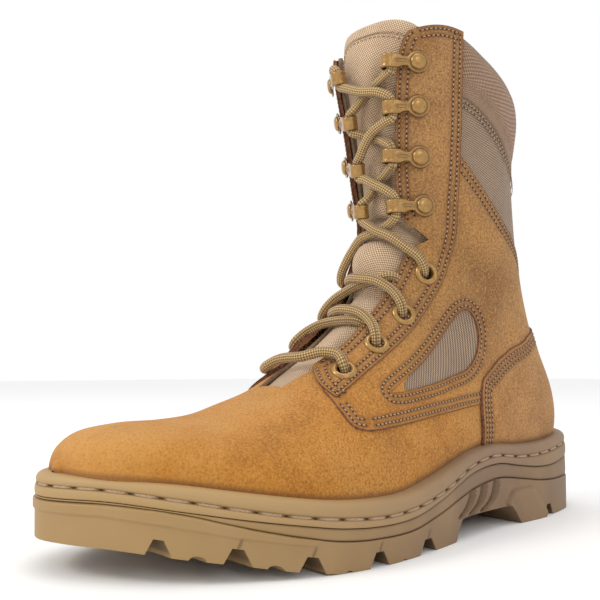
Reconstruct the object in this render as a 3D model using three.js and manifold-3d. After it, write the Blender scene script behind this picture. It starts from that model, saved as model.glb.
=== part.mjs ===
// A laced desert combat boot for a left foot, as separate pieces: outsole, midsole, welt, insole, upper,
// heel counter, tongue, laces, eyelets and lace hooks. Millimetres, +Z up, floor at z = 0, toe towards -Y,
// heel towards +Y. The outer (lateral) side of the foot is at +X and the inner (medial) side at -X.
import * as THREE from "three";
import { mergeVertices } from "three/addons/utils/BufferGeometryUtils.js";
import Module from "manifold-3d";

const wasm = await Module();
wasm.setup();

// ---- Driving dimensions
const GAP = 0.3; // air between two pieces that meet
const WALL = 2.4; // leather and lining of the upper
const LUG_HEIGHT = 6;
const ARCH_HEIGHT = 9.5; // underside of the waist above the floor
const WELT_WIDTH = 15; // from the sole's edge in to the welt's inner edge
const INSOLE_INSET = 6; // from the sole's edge, before it is fitted to the inside of the upper
const INSOLE_THICKNESS = 4;
const COUNTER_THICKNESS = 1.7;
const TONGUE_THICKNESS = 7;
const TONGUE_CLEARANCE = 1; // below the inside of the flaps
const LACE_RADIUS = 2.4;
const EYELET_BORE = 2.9;
const EYELET_FLANGE = 5.9;
const EYELET_HOLE = 3.9; // hole through the leather
const HOOK_PLATE = 1.2;

// The sole's plan outline, heel to toe: half widths on the two sides at each y.
const HEEL_POINT = { x: 1, y: 155 };
const TOE_POINT = { x: -15, y: -154.8 };
const OUTLINE = [
  { y: 151, lateral: 16.5, medial: -14 },
  { y: 141, lateral: 28.5, medial: -26 },
  { y: 122, lateral: 36, medial: -35 },
  { y: 98, lateral: 40.6, medial: -38 },
  { y: 68, lateral: 42.6, medial: -36.5 },
  { y: 36, lateral: 46.8, medial: -34.3 },
  { y: 3, lateral: 55.4, medial: -37 },
  { y: -28, lateral: 61.6, medial: -45.5 },
  { y: -54, lateral: 62.6, medial: -55 },
  { y: -80, lateral: 57.2, medial: -58.7 },
  { y: -104, lateral: 46.6, medial: -57.6 },
  { y: -125, lateral: 33.2, medial: -52 },
  { y: -141, lateral: 15.8, medial: -42 },
  { y: -151, lateral: -0.8, medial: -28.8 },
];

// Heights along the sole: the ledge that the upper stands on, the underside of the welt, the thickness
// of the midsole wedge below it, and the ground line with its toe spring.
const SOLE_LINES = [
  { y: -156, ledge: 38.6, seam: 29.6, wedge: 0.8, ground: 13.4 },
  { y: -140, ledge: 38.1, seam: 29.6, wedge: 0.8, ground: 12.4 },
  { y: -120, ledge: 36, seam: 26.4, wedge: 0.8, ground: 9.3 },
  { y: -100, ledge: 32.7, seam: 22.8, wedge: 2.8, ground: 6 },
  { y: -80, ledge: 29.5, seam: 19.6, wedge: 4.3, ground: 2.3 },
  { y: -62, ledge: 27.2, seam: 17, wedge: 4.9, ground: 0 },
  { y: -40, ledge: 26, seam: 15.7, wedge: 4.8, ground: 0 },
  { y: -20, ledge: 26.5, seam: 16.5, wedge: 5.2, ground: 0 },
  { y: 0, ledge: 29.9, seam: 20.4, wedge: 5.8, ground: 0 },
  { y: 20, ledge: 34.4, seam: 25.6, wedge: 7, ground: 0 },
  { y: 40, ledge: 39, seam: 30, wedge: 7.8, ground: 0 },
  { y: 60, ledge: 41, seam: 31.4, wedge: 7.2, ground: 0 },
  { y: 80, ledge: 39.8, seam: 28.8, wedge: 6.6, ground: 0 },
  { y: 100, ledge: 39.7, seam: 26.8, wedge: 7.2, ground: 0 },
  { y: 120, ledge: 41.2, seam: 27.3, wedge: 8.8, ground: 0 },
  { y: 156, ledge: 45, seam: 33, wedge: 14, ground: 0 },
];

// Sections of the upper, from the toe tip back to the heel and up to the collar. Each one is cut by a plane
// through a top point on the vamp, instep or shin line and a bottom point on the bottom, heel or back line.
// halfWidth is the half width at the widest place, a share "widest" of the way from bottom to top, and the
// two powers say how full the curve is above and below it: 2 is an ellipse and 5 is nearly a box.
const SECTIONS = [
  { topY: -147.2, topZ: 43, topX: -14.5, bottomY: -147.2, bottomZ: 31, bottomX: -14.5, halfWidth: 5.5 },
  { topY: -146, topZ: 46.8, topX: -13, bottomY: -146, bottomZ: 30, bottomX: -14, halfWidth: 13 },
  { topY: -142, topZ: 51.6, topX: -10.5, bottomY: -142.5, bottomZ: 29, bottomX: -12.5, halfWidth: 21.5 },
  { topY: -134, topZ: 55.6, topX: -8.5, bottomY: -135, bottomZ: 28, bottomX: -10.5, halfWidth: 29.6 },
  { topY: -120, topZ: 57.3, topX: -7, bottomY: -121, bottomZ: 26, bottomX: -8.5, halfWidth: 38 },
  { topY: -101, topZ: 57.6, topX: -6, bottomY: -101, bottomZ: 22.5, bottomX: -5, halfWidth: 46 },
  { topY: -81, topZ: 60, topX: -4.5, bottomY: -79, bottomZ: 19, bottomX: -0.5, halfWidth: 51 },
  { topY: -62, topZ: 66.3, topX: -3, bottomY: -57, bottomZ: 17, bottomX: 3.5, halfWidth: 51.8 },
  { topY: -44, topZ: 75.6, topX: -2, bottomY: -32, bottomZ: 16.5, bottomX: 7.5, halfWidth: 48 },
  { topY: -27, topZ: 86.5, topX: -1, bottomY: -4, bottomZ: 19.5, bottomX: 9, halfWidth: 42.5 },
  { topY: -12, topZ: 98.5, topX: 0, bottomY: 26, bottomZ: 27, bottomX: 7, halfWidth: 38 },
  { topY: 0, topZ: 110.5, topX: 0, bottomY: 58, bottomZ: 31.5, bottomX: 3.5, halfWidth: 36 },
  { topY: 8, topZ: 123, topX: 0, bottomY: 90, bottomZ: 30, bottomX: 1.5, halfWidth: 35.6 },
  { topY: 12.5, topZ: 136, topX: 0, bottomY: 118, bottomZ: 30, bottomX: 1, halfWidth: 35.2 },
  { topY: 14.5, topZ: 148, topX: 0, bottomY: 138, bottomZ: 35, bottomX: 1, halfWidth: 35 },
  { topY: 15, topZ: 160, topX: 0, bottomY: 142.5, bottomZ: 49, bottomX: 0.5, halfWidth: 35 },
  { topY: 14.5, topZ: 172, topX: 0, bottomY: 133.5, bottomZ: 67, bottomX: 0, halfWidth: 35 },
  { topY: 13.5, topZ: 184, topX: 0, bottomY: 123.4, bottomZ: 88, bottomX: 0, halfWidth: 35.3 },
  { topY: 12.2, topZ: 197, topX: 0, bottomY: 115.5, bottomZ: 112, bottomX: 0, halfWidth: 36 },
  { topY: 10.8, topZ: 210, topX: 0, bottomY: 111.4, bottomZ: 139, bottomX: 0, halfWidth: 36.8 },
  { topY: 9.2, topZ: 222, topX: 0, bottomY: 108.6, bottomZ: 167, bottomX: 0, halfWidth: 37.8 },
  { topY: 7.8, topZ: 234, topX: 0, bottomY: 107, bottomZ: 193, bottomX: 0, halfWidth: 39 },
  { topY: 7, topZ: 245, topX: 0, bottomY: 110, bottomZ: 217, bottomX: 0, halfWidth: 40.2 },
  { topY: 7.5, topZ: 256, topX: 0, bottomY: 107.5, bottomZ: 240, bottomX: 0, halfWidth: 40.5 },
  { topY: 9.5, topZ: 266, topX: 0, bottomY: 103, bottomZ: 260, bottomX: 0, halfWidth: 40.5 },
];
const FULLNESS = [
  { s: 0, widest: 0.5, topPower: 2, bottomPower: 2.5 },
  { s: 2, widest: 0.45, topPower: 2.2, bottomPower: 4 },
  { s: 4, widest: 0.4, topPower: 2.3, bottomPower: 5 },
  { s: 7, widest: 0.36, topPower: 2.05, bottomPower: 5 },
  { s: 10, widest: 0.36, topPower: 2.05, bottomPower: 4.5 },
  { s: 12, widest: 0.38, topPower: 2.15, bottomPower: 3.6 },
  { s: 14, widest: 0.42, topPower: 2.2, bottomPower: 2.6 },
  { s: 16, widest: 0.45, topPower: 2.2, bottomPower: 2.3 },
  { s: 24, widest: 0.5, topPower: 2.25, bottomPower: 2.2 },
];
const COLLAR = 23; // the section at the top edge of the shaft
const RING_STEP = 1; // sections between two rings of the upper's mesh
const AROUND = 28; // points round one ring of the upper

// The medial flap leans forward towards the collar: a swelling of the skin round one angle of the shaft.
const FLAP_LEAN = { from: 17, to: 23, amount: 3.5, angle: -0.5, spread: 0.4 };

// The throat: how far round from the shin line each flap's front edge lies, in millimetres along the
// leather, and the notch at the ankle that splits each flap.
const THROAT = [
  { s: 7.6, edge: 8 },
  { s: 8.2, edge: 14.5 },
  { s: 10, edge: 16.5 },
  { s: 12.2, edge: 17.5 },
  { s: 13.4, edge: 18 },
  { s: 14.15, edge: 30 },
  { s: 14.7, edge: 18 },
  { s: 17, edge: 18.5 },
  { s: 21, edge: 22.5 },
  { s: 24.2, edge: 25 },
];

// Half the tongue's width along its length, and its rounded top above the collar.
const TONGUE_WIDTHS = [
  { s: 7, half: 20 },
  { s: 8, half: 23 },
  { s: 10, half: 26 },
  { s: 12, half: 27 },
  { s: 14, half: 28.5 },
  { s: 16, half: 29.5 },
  { s: 18, half: 30.5 },
  { s: 20, half: 31.5 },
  { s: 22, half: 32 },
  { s: 23, half: 30 },
  { s: 23.4, half: 25.5 },
  { s: 23.65, half: 18 },
];

// Eyelets and hooks up each flap, by section and distance round from the shin line.
const EYELETS = [
  { s: 8.9, round: 26.5 },
  { s: 10.2, round: 25.5 },
  { s: 11.65, round: 27 },
  { s: 13.3, round: 32 },
];
const HOOKS = [
  { s: 16.05, round: 29 },
  { s: 18, round: 30 },
  { s: 19.8, round: 31 },
  { s: 21.45, round: 31.5 },
];

// The heel counter seen from the side: its front and top edge, from the welt up to the back seam.
const COUNTER_EDGE = [
  { y: 51, z: 25 },
  { y: 53, z: 52 },
  { y: 58, z: 67 },
  { y: 67, z: 77 },
  { y: 84, z: 88 },
  { y: 104, z: 97.5 },
  { y: 122, z: 105 },
  { y: 160, z: 116 },
  { y: 160, z: 25 },
];

// Notches between the edge lugs, by their place along the outline from heel (0) to toe (1).
const NOTCHES = [0.11, 0.24, 0.495, 0.574, 0.655, 0.729, 0.808];
const NOTCH = { foot: 10.5, head: 5.5, height: LUG_HEIGHT, depth: 15 };
const CENTRE_LUGS = [
  { y: -112, half: 20 },
  { y: -88, half: 25 },
  { y: -62, half: 26 },
  { y: -36, half: 22 },
  { y: -10, half: 18 },
  { y: 104, half: 12 },
  { y: 126, half: 9 },
];

// ---- Tables as smooth curves

// Reads rows with a rising key as one smooth cubic for each other column, straight beyond both ends.
function smoothTable(rows, key) {
  const names = Object.keys(rows[0]).filter((name) => name !== key);
  const slope = (i, name) => {
    const before = rows[Math.max(i - 1, 0)];
    const after = rows[Math.min(i + 1, rows.length - 1)];
    return (after[name] - before[name]) / (after[key] - before[key]);
  };
  return (at) => {
    let i = 0;
    while (i < rows.length - 2 && at > rows[i + 1][key]) i += 1;
    const span = rows[i + 1][key] - rows[i][key];
    const u = THREE.MathUtils.clamp((at - rows[i][key]) / span, 0, 1);
    const beyond = at - (rows[i][key] + u * span);
    const values = {};
    for (const name of names) {
      const [from, to] = [rows[i][name], rows[i + 1][name]];
      const [m0, m1] = [slope(i, name) * span, slope(i + 1, name) * span];
      const bend = u * u * (3 - 2 * u);
      const ease = u * (1 - u) * (1 - u) * m0 - u * u * (1 - u) * m1;
      values[name] = from + (to - from) * bend + ease + beyond * slope(u < 0.5 ? i : i + 1, name);
    }
    return values;
  };
}

const soleAt = smoothTable(SOLE_LINES, "y");
const sectionAt = smoothTable(
  SECTIONS.map((row, s) => ({ s, ...row })),
  "s",
);
const fullnessAt = smoothTable(FULLNESS, "s");
const tongueWidthAt = smoothTable(TONGUE_WIDTHS, "s");
const ledge = (y) => soleAt(y).ledge;
const seam = (y) => soleAt(y).seam;
const split = (y) => soleAt(y).seam - soleAt(y).wedge;
const ground = (y) => Math.max(soleAt(y).ground, 0);

// ---- Solids from rings of points

// Turns a three.js geometry into a solid, with shared vertices merged and collapsed triangles dropped.
function solidFrom(geometry) {
  const bare = new THREE.BufferGeometry();
  bare.setAttribute("position", geometry.getAttribute("position"));
  if (geometry.index) bare.setIndex(geometry.index);
  const merged = mergeVertices(bare, 1e-3);
  const kept = [];
  for (let i = 0; i < merged.index.count; i += 3) {
    const [a, b, c] = [0, 1, 2].map((k) => merged.index.getX(i + k));
    if (a !== b && b !== c && c !== a) kept.push(a, b, c);
  }
  const vertProperties = merged.attributes.position.array;
  return new wasm.Manifold(
    new wasm.Mesh({ numProp: 3, vertProperties, triVerts: Uint32Array.from(kept) }),
  );
}

function geometryFrom(solid) {
  const mesh = solid.getMesh();
  const geometry = new THREE.BufferGeometry();
  geometry.setAttribute("position", new THREE.BufferAttribute(mesh.vertProperties, 3));
  geometry.setIndex(new THREE.BufferAttribute(mesh.triVerts, 1));
  geometry.computeVertexNormals();
  return geometry;
}

// Joins rings of points into a closed body. The two end rings are closed by strips across from each point
// to the one opposite it, or the last ring joins the first when the body is itself a ring.
function loft(rings, closesOnItself = false) {
  const count = rings[0].length;
  const positions = rings.flat().flatMap((p) => [p.x, p.y, p.z]);
  const index = [];
  const joined = closesOnItself ? rings.length : rings.length - 1;
  for (let i = 0; i < joined; i += 1) {
    const [a, b] = [i * count, ((i + 1) % rings.length) * count];
    for (let j = 0; j < count; j += 1) {
      const k = (j + 1) % count;
      index.push(a + j, a + k, b + k, a + j, b + k, b + j);
    }
  }
  const lastRing = (rings.length - 1) * count;
  for (let j = 0; !closesOnItself && j < count / 2 - 1; j += 1) {
    const [left, right] = [count - 1 - j, count - 2 - j];
    index.push(j, left, right, j, right, j + 1);
    index.push(lastRing + j, lastRing + right, lastRing + left, lastRing + j, lastRing + j + 1, lastRing + right);
  }
  const geometry = new THREE.BufferGeometry();
  geometry.setAttribute("position", new THREE.Float32BufferAttribute(positions, 3));
  geometry.setIndex(index);
  const solid = solidFrom(geometry);
  return solid.volume() > 0 ? solid : solidFrom(turnedOver(geometry));
}

function turnedOver(geometry) {
  const index = geometry.index.array;
  for (let i = 0; i < index.length; i += 3) [index[i + 1], index[i + 2]] = [index[i + 2], index[i + 1]];
  return geometry;
}

function polygon(points) {
  return new THREE.Shape(points.map(([x, y]) => new THREE.Vector2(x, y)));
}

function extruded(shape, depth) {
  return new THREE.ExtrudeGeometry(shape, { depth, bevelEnabled: false, steps: 1 });
}

// A prism across the whole boot, from its outline in the side view (y, z).
function sidePrism(points) {
  const width = 160;
  const geometry = extruded(polygon(points), width);
  const across = new THREE.Vector3(1, 0, 0);
  const along = new THREE.Vector3(0, 1, 0);
  const up = new THREE.Vector3(0, 0, 1);
  geometry.applyMatrix4(new THREE.Matrix4().makeBasis(along, up, across).setPosition(-width / 2, 0, 0));
  return solidFrom(geometry);
}

// ---- Sole

const outlineCurve = new THREE.CatmullRomCurve3(
  [
    HEEL_POINT,
    ...OUTLINE.map((row) => ({ x: row.lateral, y: row.y })),
    TOE_POINT,
    ...OUTLINE.map((row) => ({ x: row.medial, y: row.y })).reverse(),
  ].map((p) => new THREE.Vector3(p.x, p.y, 0)),
  true,
  "centripetal",
);
const OUTLINE_STEPS = 2 * (OUTLINE.length + 1); // steps from heel to toe on each side

// A place on the outline: share runs from 0 at the heel to 1 at the toe, and side is +1 lateral, -1 medial.
function outlineFrame(share, side) {
  const t = side > 0 ? share / 2 : 1 - share / 2;
  const point = outlineCurve.getPoint(t);
  const tangent = outlineCurve.getTangent(t);
  const outward = new THREE.Vector3(-tangent.y, tangent.x, 0);
  return { point, tangent, outward };
}

// One ring of the sole: the outline drawn in by inset, at the height of the given line.
function outlineRing(inset, height, from = 0, to = 1) {
  const first = Math.round(from * OUTLINE_STEPS);
  const last = Math.round(to * OUTLINE_STEPS);
  const half = (side) => {
    const points = [];
    for (let k = first; k <= last; k += 1) {
      const { point, outward } = outlineFrame(k / OUTLINE_STEPS, side);
      point.addScaledVector(outward, -inset);
      point.z = height(point.y);
      points.push(point);
    }
    return points;
  };
  return [...half(1), ...half(-1).reverse()];
}

function plate(levels, from = 0, to = 1) {
  return loft(levels.map(([inset, height]) => outlineRing(inset, height, from, to)));
}

function notchCutter(share, side) {
  const { point, tangent, outward } = outlineFrame(share, side);
  const { foot, head, height, depth } = NOTCH;
  const below = 3;
  const flare = ((foot - head) / 2 / height) * below;
  const shape = polygon([
    [-foot / 2 - flare, -below],
    [foot / 2 + flare, -below],
    [head / 2, height],
    [-head / 2, height],
  ]);
  const outside = 6;
  const start = point.clone().addScaledVector(outward, outside);
  start.z = ground(point.y);
  const up = new THREE.Vector3(0, 0, 1);
  const inward = outward.clone().negate();
  const basis = new THREE.Matrix4().makeBasis(tangent, up, inward).setPosition(start);
  return solidFrom(extruded(shape, depth + outside).applyMatrix4(basis));
}

// A chevron lug in the middle of the tread, pointing to the toe.
function centreLug({ y, half }) {
  const [arm, rake] = [7, 9];
  const shape = polygon([
    [-half, rake],
    [0, 0],
    [half, rake],
    [half, rake + arm],
    [0, arm],
    [-half, rake + arm],
  ]);
  const slope = Math.atan2(ground(y + 10) - ground(y), 10);
  const geometry = extruded(shape, LUG_HEIGHT + 1);
  geometry.rotateX(slope);
  geometry.translate(y < 0 ? -1 : 1, y, ground(y));
  return solidFrom(geometry);
}

function outsole() {
  const top = (y) => split(y) - GAP / 2;
  let body = plate([
    [0.8, ground],
    [0, (y) => ground(y) + 0.5 * (split(y) - ground(y))],
    [1.2, top],
  ]);
  const recess = (from, to) =>
    plate(
      [
        [19, (y) => ground(y) - 3],
        [19, (y) => ground(y) + LUG_HEIGHT - 1],
      ],
      from,
      to,
    );
  body = body.subtract(recess(0.1, 0.24));
  body = body.subtract(recess(0.5, 0.92));
  for (const lug of CENTRE_LUGS) body = body.add(centreLug(lug));
  for (const side of [1, -1])
    for (const share of NOTCHES) body = body.subtract(notchCutter(share, side));
  const arch = [
    [17, -5],
    [79, -5],
    [73, ARCH_HEIGHT * 0.6],
    [69, ARCH_HEIGHT],
    [24, ARCH_HEIGHT],
    [20, ARCH_HEIGHT * 0.6],
  ];
  return body.subtract(sidePrism(arch));
}

function midsole() {
  const under = (y) => split(y) + GAP / 2;
  const over = (y) => seam(y) - GAP;
  const core = WELT_WIDTH + GAP;
  return plate([
    [1.6, under],
    [1.6, over],
    [core, over],
    [core, (y) => ledge(y) - GAP / 2],
  ]);
}

function welt() {
  const under = (y) => seam(y) + GAP / 2;
  return loft(
    [
      [1.2, under],
      [1.8, (y) => ledge(y) - 2.6],
      [4.2, ledge],
      [WELT_WIDTH, ledge],
      [WELT_WIDTH, under],
    ].map(([inset, height]) => outlineRing(inset, height)),
    true,
  );
}

function insole() {
  const board = plate([
    [INSOLE_INSET, (y) => ledge(y) + GAP],
    [INSOLE_INSET, (y) => ledge(y) + GAP + INSOLE_THICKNESS],
  ]);
  return board.intersect(form(-WALL - GAP, 0.8, COLLAR));
}

// ---- Upper

// A point of the upper's outside: s counts sections from toe to collar, and angle runs round the section
// from 0 on the shin line, positive on the lateral side, to half a turn on the bottom or back line.
function skin(s, angle) {
  const row = sectionAt(s);
  const { widest, topPower, bottomPower } = fullnessAt(s);
  const bottom = new THREE.Vector3(row.bottomX, row.bottomY, row.bottomZ);
  const axis = new THREE.Vector3(row.topX, row.topY, row.topZ).sub(bottom);
  const [c, d] = [Math.cos(angle), Math.sin(angle)];
  const power = c > 0 ? topPower : bottomPower;
  const reach = (Math.abs(c) ** power + Math.abs(d) ** power) ** (-1 / power);
  const along = widest + reach * c * (c > 0 ? 1 - widest : widest);
  const point = bottom.addScaledVector(axis, along);
  point.x += row.halfWidth * reach * d;
  const rise = THREE.MathUtils.smoothstep(s, FLAP_LEAN.from, FLAP_LEAN.to);
  const near = Math.exp(-(((angle - FLAP_LEAN.angle) / FLAP_LEAN.spread) ** 2));
  return point.addScaledVector(axis.normalize(), FLAP_LEAN.amount * rise * near);
}

// The same point with the directions round and along the upper and its outward normal.
function skinFrame(s, angle, offset = 0) {
  const step = 1e-3;
  const round = skin(s, angle + step).sub(skin(s, angle - step)).normalize();
  const along = skin(s + step, angle).sub(skin(s - step, angle)).normalize();
  const normal = new THREE.Vector3().crossVectors(round, along).normalize();
  const point = skin(s, angle).addScaledVector(normal, offset);
  return { point, round, normal };
}

// The angle that lies a given distance round from the shin line, to the lateral side.
function angleAt(s, distance) {
  const step = 0.02;
  let [angle, run] = [0, 0];
  let from = skin(s, 0);
  while (run < Math.abs(distance)) {
    angle += step;
    const to = skin(s, angle);
    run += to.distanceTo(from);
    from = to;
  }
  return Math.sign(distance) * angle;
}

function steps(from, to, size) {
  const count = Math.max(Math.round((to - from) / size), 1);
  return Array.from({ length: count + 1 }, (_, i) => from + ((to - from) * i) / count);
}

// The whole foot and leg form, offset from the skin, between two sections.
function form(offset, from, to) {
  const ring = (s) =>
    Array.from({ length: AROUND }, (_, j) => {
      const angle = ((j + 0.5) / AROUND) * 2 * Math.PI - Math.PI;
      return skinFrame(s, angle, offset).point;
    });
  return loft(steps(from, to, RING_STEP).map(ring));
}

// A patch of the skin with a thickness, between two sections and two edges given as distances round.
function patch({ sections, left, right, across, inner, outer }) {
  const rings = sections.map((s) => {
    const [a, b] = [angleAt(s, left(s)), angleAt(s, right(s))];
    const angles = Array.from({ length: across + 1 }, (_, j) => a + ((b - a) * j) / across);
    const out = angles.map((angle) => skinFrame(s, angle, outer).point);
    const back = angles.map((angle) => skinFrame(s, angle, inner).point).reverse();
    return [...out, ...back];
  });
  return loft(rings);
}

function throatEdge(s) {
  let i = 0;
  while (i < THROAT.length - 2 && s > THROAT[i + 1].s) i += 1;
  const [a, b] = [THROAT[i], THROAT[i + 1]];
  return a.edge + ((b.edge - a.edge) * (s - a.s)) / (b.s - a.s);
}

function throatCutter() {
  return patch({
    sections: THROAT.slice(1).flatMap((row, i) => [THROAT[i].s, (THROAT[i].s + row.s) / 2]).concat(24.2),
    left: (s) => -throatEdge(s),
    right: throatEdge,
    across: 4,
    inner: -7,
    outer: 5,
  });
}

// The frame that eyelets and hooks stand in: local X level towards the throat, Y out of the leather.
function seat({ s, round }, side) {
  const { point, normal } = skinFrame(s, angleAt(s, side * round));
  const up = new THREE.Vector3(0, 0, side);
  const inward = new THREE.Vector3().crossVectors(normal, up).normalize();
  const third = new THREE.Vector3().crossVectors(inward, normal);
  return new THREE.Matrix4().makeBasis(inward, normal, third).setPosition(point);
}

function eyeletHole(place, side) {
  const geometry = new THREE.CylinderGeometry(EYELET_HOLE, EYELET_HOLE, 14, 8);
  return solidFrom(geometry.applyMatrix4(seat(place, side)));
}

const belowLedge = () =>
  plate([
    [-20, () => -10],
    [-20, (y) => ledge(y) + GAP],
  ]);

function upper() {
  let body = form(0, 0, COLLAR);
  body = body.subtract(form(-WALL, 0.8, COLLAR + 1));
  body = body.subtract(belowLedge()).subtract(throatCutter());
  for (const side of [1, -1])
    for (const place of EYELETS) body = body.subtract(eyeletHole(place, side));
  return body;
}

function heelCounter() {
  const band = sidePrism(COUNTER_EDGE.map(({ y, z }) => [y, z]));
  const shell = form(GAP + COUNTER_THICKNESS, 8, 20).subtract(form(GAP, 7.9, 20.1));
  return shell.intersect(band).subtract(belowLedge());
}

function tongue() {
  const top = WALL + TONGUE_CLEARANCE;
  const half = (s) => tongueWidthAt(s).half;
  return patch({
    sections: TONGUE_WIDTHS.slice(1)
      .flatMap((row, i) => [TONGUE_WIDTHS[i].s, (TONGUE_WIDTHS[i].s + row.s) / 2])
      .concat(TONGUE_WIDTHS[TONGUE_WIDTHS.length - 1].s),
    left: (s) => -half(s),
    right: half,
    across: 6,
    inner: -top - TONGUE_THICKNESS,
    outer: -top,
  });
}

// ---- Laces, eyelets and hooks

function cord(points) {
  const path = new THREE.CatmullRomCurve3(points);
  const section = new THREE.Shape().absarc(0, 0, LACE_RADIUS, 0, 2 * Math.PI);
  const options = { steps: 2, curveSegments: 4, bevelEnabled: false, extrudePath: path };
  return solidFrom(new THREE.ExtrudeGeometry(section, options));
}

// A run of lace over the tongue, from one place on the skin to another.
function laceRun(from, to) {
  const points = [0, 0.25, 0.5, 0.75, 1].map((share) => {
    const s = THREE.MathUtils.lerp(from.s, to.s, share);
    const round = THREE.MathUtils.lerp(from.round, to.round, share);
    return skinFrame(s, angleAt(s, round || 1e-3), 1).point;
  });
  return cord(points);
}

// How far from the shin line a crossing may reach at each level, clear of the flap edge or the hook.
const LACE_LEVELS = [
  ...EYELETS.map(({ s }) => ({ s, round: throatEdge(s) - 4 })),
  ...HOOKS.map(({ s, round }) => ({ s, round: round - 21.5 })),
];

function laceBar() {
  const { s, round } = LACE_LEVELS[0];
  return laceRun({ s, round: -round }, { s, round });
}

function laceCross(level) {
  const [low, high] = [LACE_LEVELS[level], LACE_LEVELS[level + 1]];
  const lift = 0.3; // the crossing starts a little above the run below it
  const start = { s: low.s + lift, round: low.round };
  const end = { s: high.s - lift, round: high.round };
  const mirror = (place) => ({ s: place.s, round: -place.round });
  return laceRun(start, mirror(end)).add(laceRun(mirror(start), end));
}

function eyelet(place, side) {
  const flangeFoot = 0.7;
  const profile = [
    [EYELET_BORE, -WALL],
    [EYELET_HOLE - GAP, -WALL],
    [EYELET_HOLE - GAP, flangeFoot],
    [EYELET_FLANGE, flangeFoot],
    [EYELET_FLANGE - 1, flangeFoot + 1.1],
    [EYELET_BORE, flangeFoot + 0.6],
    [EYELET_BORE, -WALL],
  ].map(([x, y]) => new THREE.Vector2(x, y));
  return solidFrom(new THREE.LatheGeometry(profile, 8).applyMatrix4(seat(place, side)));
}

// A lace hook: a riveted head, a neck, and a rolled end beyond the flap's edge that the lace runs through.
function hook(place, side) {
  const foot = 0.8;
  const plateTop = foot + HOOK_PLATE;
  const [barLength, rollRadius, barWidth] = [12.5, 4, 9];
  const centre = { x: barLength, y: foot + 0.4 };
  const rim = (radius, degrees) => {
    const a = THREE.MathUtils.degToRad(degrees);
    return [centre.x + radius * Math.cos(a), centre.y + radius * Math.sin(a)];
  };
  const turns = [90, 30, -30, -90, -150];
  const profile = [
    [0, foot],
    [6.5, foot],
    ...turns.map((degrees) => rim(rollRadius - HOOK_PLATE, degrees)),
    ...turns.map((degrees) => rim(rollRadius, degrees)).reverse(),
    [6, plateTop],
    [0, plateTop],
  ];
  const bar = extruded(polygon(profile), barWidth).translate(0, 0, -barWidth / 2);
  const head = new THREE.CylinderGeometry(6.8, 6.8, HOOK_PLATE, 10).translate(0, foot + HOOK_PLATE / 2, 0);
  const dome = [
    [0, foot + 0.2],
    [5, foot + 0.2],
    [4.4, plateTop + 1.2],
    [0, plateTop + 2.4],
  ].map(([x, y]) => new THREE.Vector2(x, y));
  const rivet = new THREE.LatheGeometry(dome, 8);
  const pieces = [bar, head, rivet].map((geometry) => solidFrom(geometry.applyMatrix4(seat(place, side))));
  return pieces[0].add(pieces[1]).add(pieces[2]);
}

// ---- The boot

const MATERIALS = {
  rubber: { color: 0x9c7f5c, roughness: 0.65, metalness: 0 },
  suede: { color: 0xc08a4c, roughness: 0.95, metalness: 0 },
  nylon: { color: 0x9b8466, roughness: 0.85, metalness: 0 },
  footbed: { color: 0x8a7357, roughness: 0.9, metalness: 0 },
  lace: { color: 0xa98d63, roughness: 0.85, metalness: 0 },
  brass: { color: 0x9a7d48, roughness: 0.4, metalness: 0.6 },
};

const boot = new THREE.Group();

function addPiece(name, solid, material) {
  const mesh = new THREE.Mesh(geometryFrom(solid), new THREE.MeshStandardMaterial(MATERIALS[material]));
  mesh.name = name;
  boot.add(mesh);
}

addPiece("outsole", outsole(), "rubber");
addPiece("midsole", midsole(), "rubber");
addPiece("welt", welt(), "rubber");
addPiece("insole", insole(), "footbed");
addPiece("upper", upper(), "suede");
addPiece("heel_counter", heelCounter(), "suede");
addPiece("tongue", tongue(), "nylon");
addPiece("lace_bar", laceBar(), "lace");
for (let level = 0; level < LACE_LEVELS.length - 1; level += 1)
  addPiece(`lace_cross_${level + 1}`, laceCross(level), "lace");
for (const [side, name] of [
  [1, "lateral"],
  [-1, "medial"],
]) {
  EYELETS.forEach((place, i) => addPiece(`eyelet_${name}_${i + 1}`, eyelet(place, side), "brass"));
  HOOKS.forEach((place, i) => addPiece(`hook_${name}_${i + 1}`, hook(place, side), "brass"));
}

// The origin is on the floor below the middle of the boot's length and width.
const extent = new THREE.Box3().setFromObject(boot);
boot.position.set(-(extent.min.x + extent.max.x) / 2, -(extent.min.y + extent.max.y) / 2, 0);

export default boot;
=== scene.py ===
import bpy
import math
import numpy as np
from mathutils import Matrix


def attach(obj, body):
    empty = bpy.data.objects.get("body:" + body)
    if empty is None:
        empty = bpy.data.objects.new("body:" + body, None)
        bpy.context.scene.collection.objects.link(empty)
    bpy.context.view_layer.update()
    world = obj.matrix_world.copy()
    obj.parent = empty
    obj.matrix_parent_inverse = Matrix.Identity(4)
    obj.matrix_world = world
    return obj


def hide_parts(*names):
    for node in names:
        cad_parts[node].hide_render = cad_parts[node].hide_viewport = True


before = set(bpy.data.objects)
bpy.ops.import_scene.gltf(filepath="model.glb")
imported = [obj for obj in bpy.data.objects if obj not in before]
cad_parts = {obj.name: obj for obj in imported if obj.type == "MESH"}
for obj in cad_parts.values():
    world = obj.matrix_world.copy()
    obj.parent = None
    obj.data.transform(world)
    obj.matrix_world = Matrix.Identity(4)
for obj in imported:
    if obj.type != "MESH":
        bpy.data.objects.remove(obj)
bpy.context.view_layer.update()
print("frame loaded")

# Everything below is worked out in millimetres: +Z up, toe towards -Y, outer side of the foot at +X.
toMetres = 0.001
frameShift = np.array([-2.008, -0.1, 0.0])  # the frame's origin is below the middle of the boot


camera = {
    "place": (292.73, -273.99, 78.28),
    "turn": 51.04,  # degrees from looking along +Y
    "rise": 5.1,
    "roll": -0.14,
    "lens": 47.7,
    "shift": (0.0023, -0.0007),
}


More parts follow.
